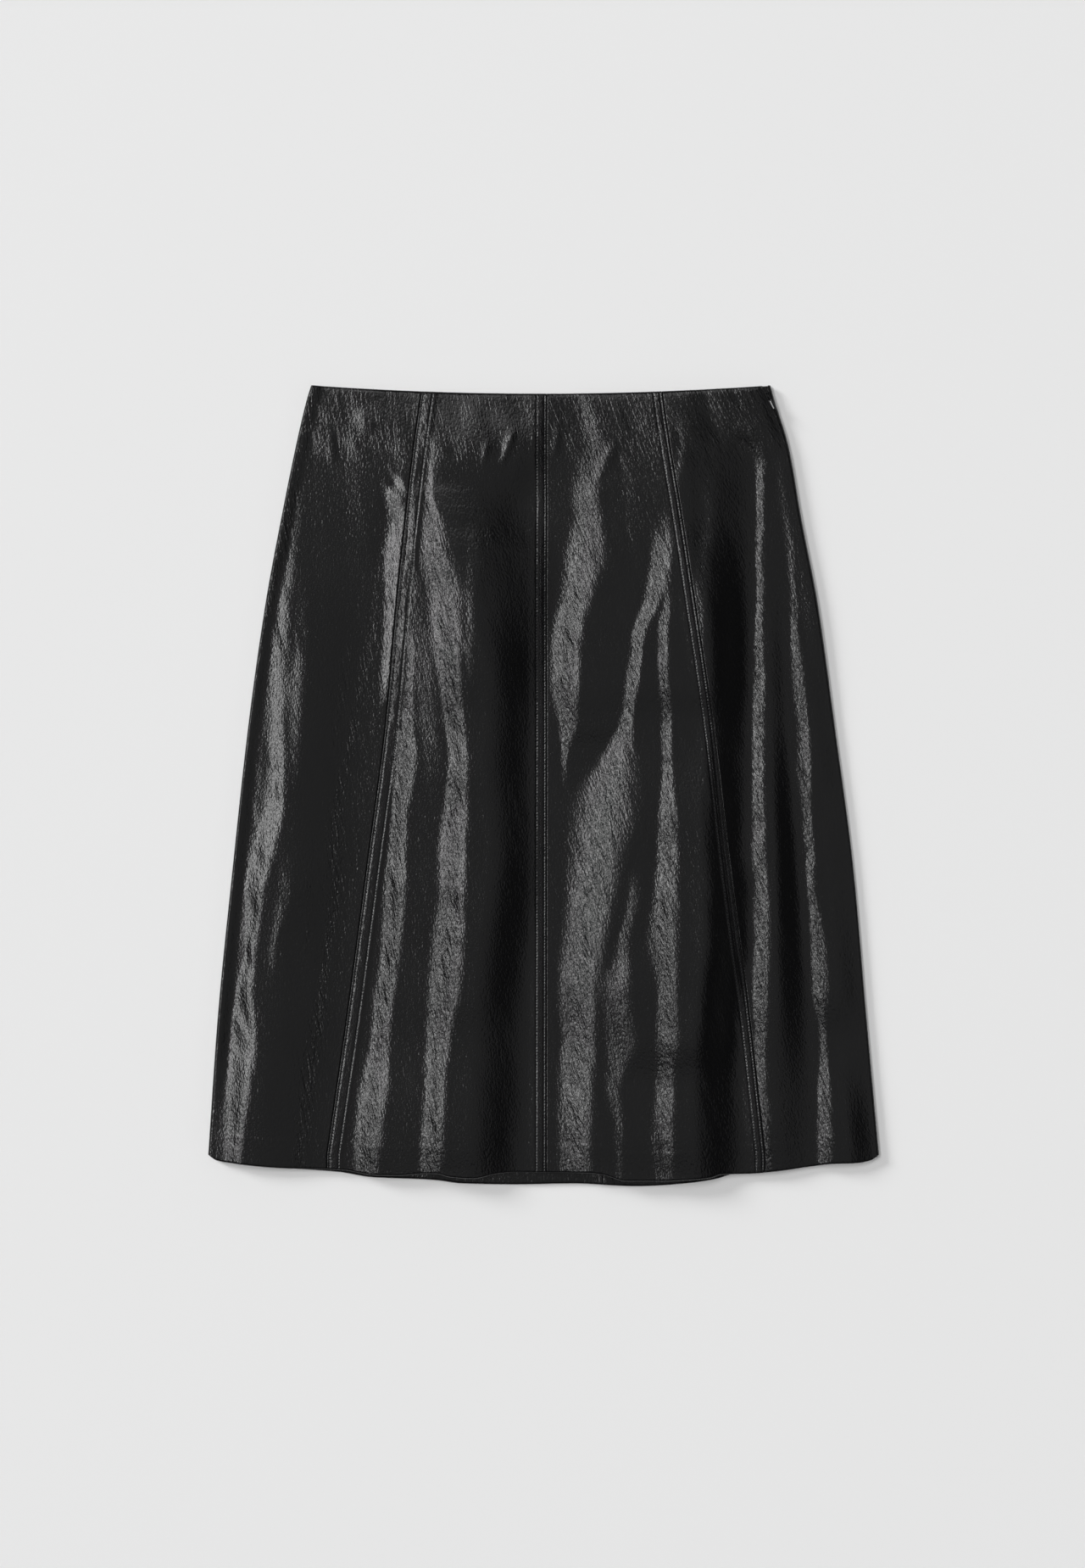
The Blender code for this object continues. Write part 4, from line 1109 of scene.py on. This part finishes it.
# floor, lights and camera
studio = {
    "floorColour": 0.87,
    "floorRoughness": 0.9,
    "floorSize": 30.0,
    "lens": 100.0,
    "cameraHeight": 3.598,
    "cameraPlace": (-0.0009, 0.0016),
    "lightDistance": 16.0,
    # tilt from straight up towards +X and +Y, half spreads and radiance
    "lights": {
        "keyLight": ((-26, 12), (8, 21), 2.9),
        "coreLight": ((-26, 14), (3, 15), 9.0),
        "topLight": ((-4, 26), (12, 9), 1.45),
        "overheadLight": ((5, -1.5), (18, 15.5), 0.265),
    },
    # wide soft suns that light the floor and aren't mirrored in the cloth: tilt, angle, strength
    "suns": {
        "lowSun": ((-66, 56), 18, 2.4),
        "fillSun": ((0, 0), 14, 0.56),
    },
    # the sky's glow straight up, at the horizon and as the camera sees it
    "zenith": 0.02,
    "horizon": 0.8,
    "seenSky": 0.8,
}


def aimed(tilt, distance):
    away = Vector((math.tan(math.radians(tilt[0])), math.tan(math.radians(tilt[1])), 1)).normalized()
    side = (Vector((1, 0, 0)) - away * away.x).normalized()
    turn = Matrix((side, away.cross(side), away)).transposed().to_4x4()
    return Matrix.Translation(away * distance) @ turn


def makeStudio():
    bpy.ops.mesh.primitive_plane_add(size=studio["floorSize"])
    floor = bpy.context.object
    floor.name = "floor"
    material, nodes = newMaterial("paleFloor")
    shader = nodes.add("ShaderNodeBsdfPrincipled", None, {
        "Base Color": (*[studio["floorColour"]] * 3, 1), "Roughness": studio["floorRoughness"],
        "Specular IOR Level": 0.0})
    nodes.add("ShaderNodeOutputMaterial", None, {"Surface": shader.outputs[0]})
    floor.data.materials.append(material)
    for name, (tilt, spread, radiance) in studio["lights"].items():
        light = bpy.data.lights.new(name, "AREA")
        light.shape = "RECTANGLE"
        light.size = 2 * studio["lightDistance"] * math.tan(math.radians(spread[0]))
        light.size_y = 2 * studio["lightDistance"] * math.tan(math.radians(spread[1]))
        light.energy = radiance * math.pi * light.size * light.size_y
        lamp = bpy.data.objects.new(name, light)
        lamp.matrix_world = aimed(tilt, studio["lightDistance"])
        bpy.context.scene.collection.objects.link(lamp)
    for name, (tilt, angle, strength) in studio["suns"].items():
        light = bpy.data.lights.new(name, "SUN")
        light.angle = math.radians(angle)
        light.energy = strength
        lamp = bpy.data.objects.new(name, light)
        lamp.matrix_world = aimed(tilt, studio["lightDistance"])
        lamp.visible_glossy = False
        bpy.context.scene.collection.objects.link(lamp)
    sky = bpy.data.worlds.new("studioSky")
    sky.use_nodes = True
    sky.node_tree.nodes.clear()
    nodes = Nodes(sky.node_tree)
    where = nodes.add("ShaderNodeTexCoord")
    upward = nodes.link("ShaderNodeSeparateXYZ", 2, None, {0: where.outputs["Generated"]})
    clear = nodes.link("ShaderNodeMath", 0, {"operation": "MAXIMUM"}, {0: upward, 1: 0.0})
    glow = (1 - clear) ** 3 * (studio["horizon"] - studio["zenith"]) + studio["zenith"]
    seen = nodes.link("ShaderNodeLightPath", "Is Camera Ray")
    strength = seen * (studio["seenSky"] - glow) + glow
    shader = nodes.add("ShaderNodeBackground", None, {"Color": (1, 1, 1, 1), "Strength": strength})
    nodes.add("ShaderNodeOutputWorld", None, {"Surface": shader.outputs[0]})
    bpy.context.scene.world = sky
    bpy.context.scene.view_settings.view_transform = "Standard"
    lens = bpy.data.cameras.new("camera")
    lens.lens = studio["lens"]
    camera = bpy.data.objects.new("camera", lens)
    camera.location = (*studio["cameraPlace"], studio["cameraHeight"])
    bpy.context.scene.collection.objects.link(camera)
    bpy.context.scene.camera = camera


makeStudio()
print("studio made")

for name, material in (("zip_tape_front", tapeMaterial), ("zip_tape_back", tapeMaterial),
                       ("zip_slider", metalMaterial)):
    frame["nodes"][name].data.materials.clear()
    frame["nodes"][name].data.materials.append(material)
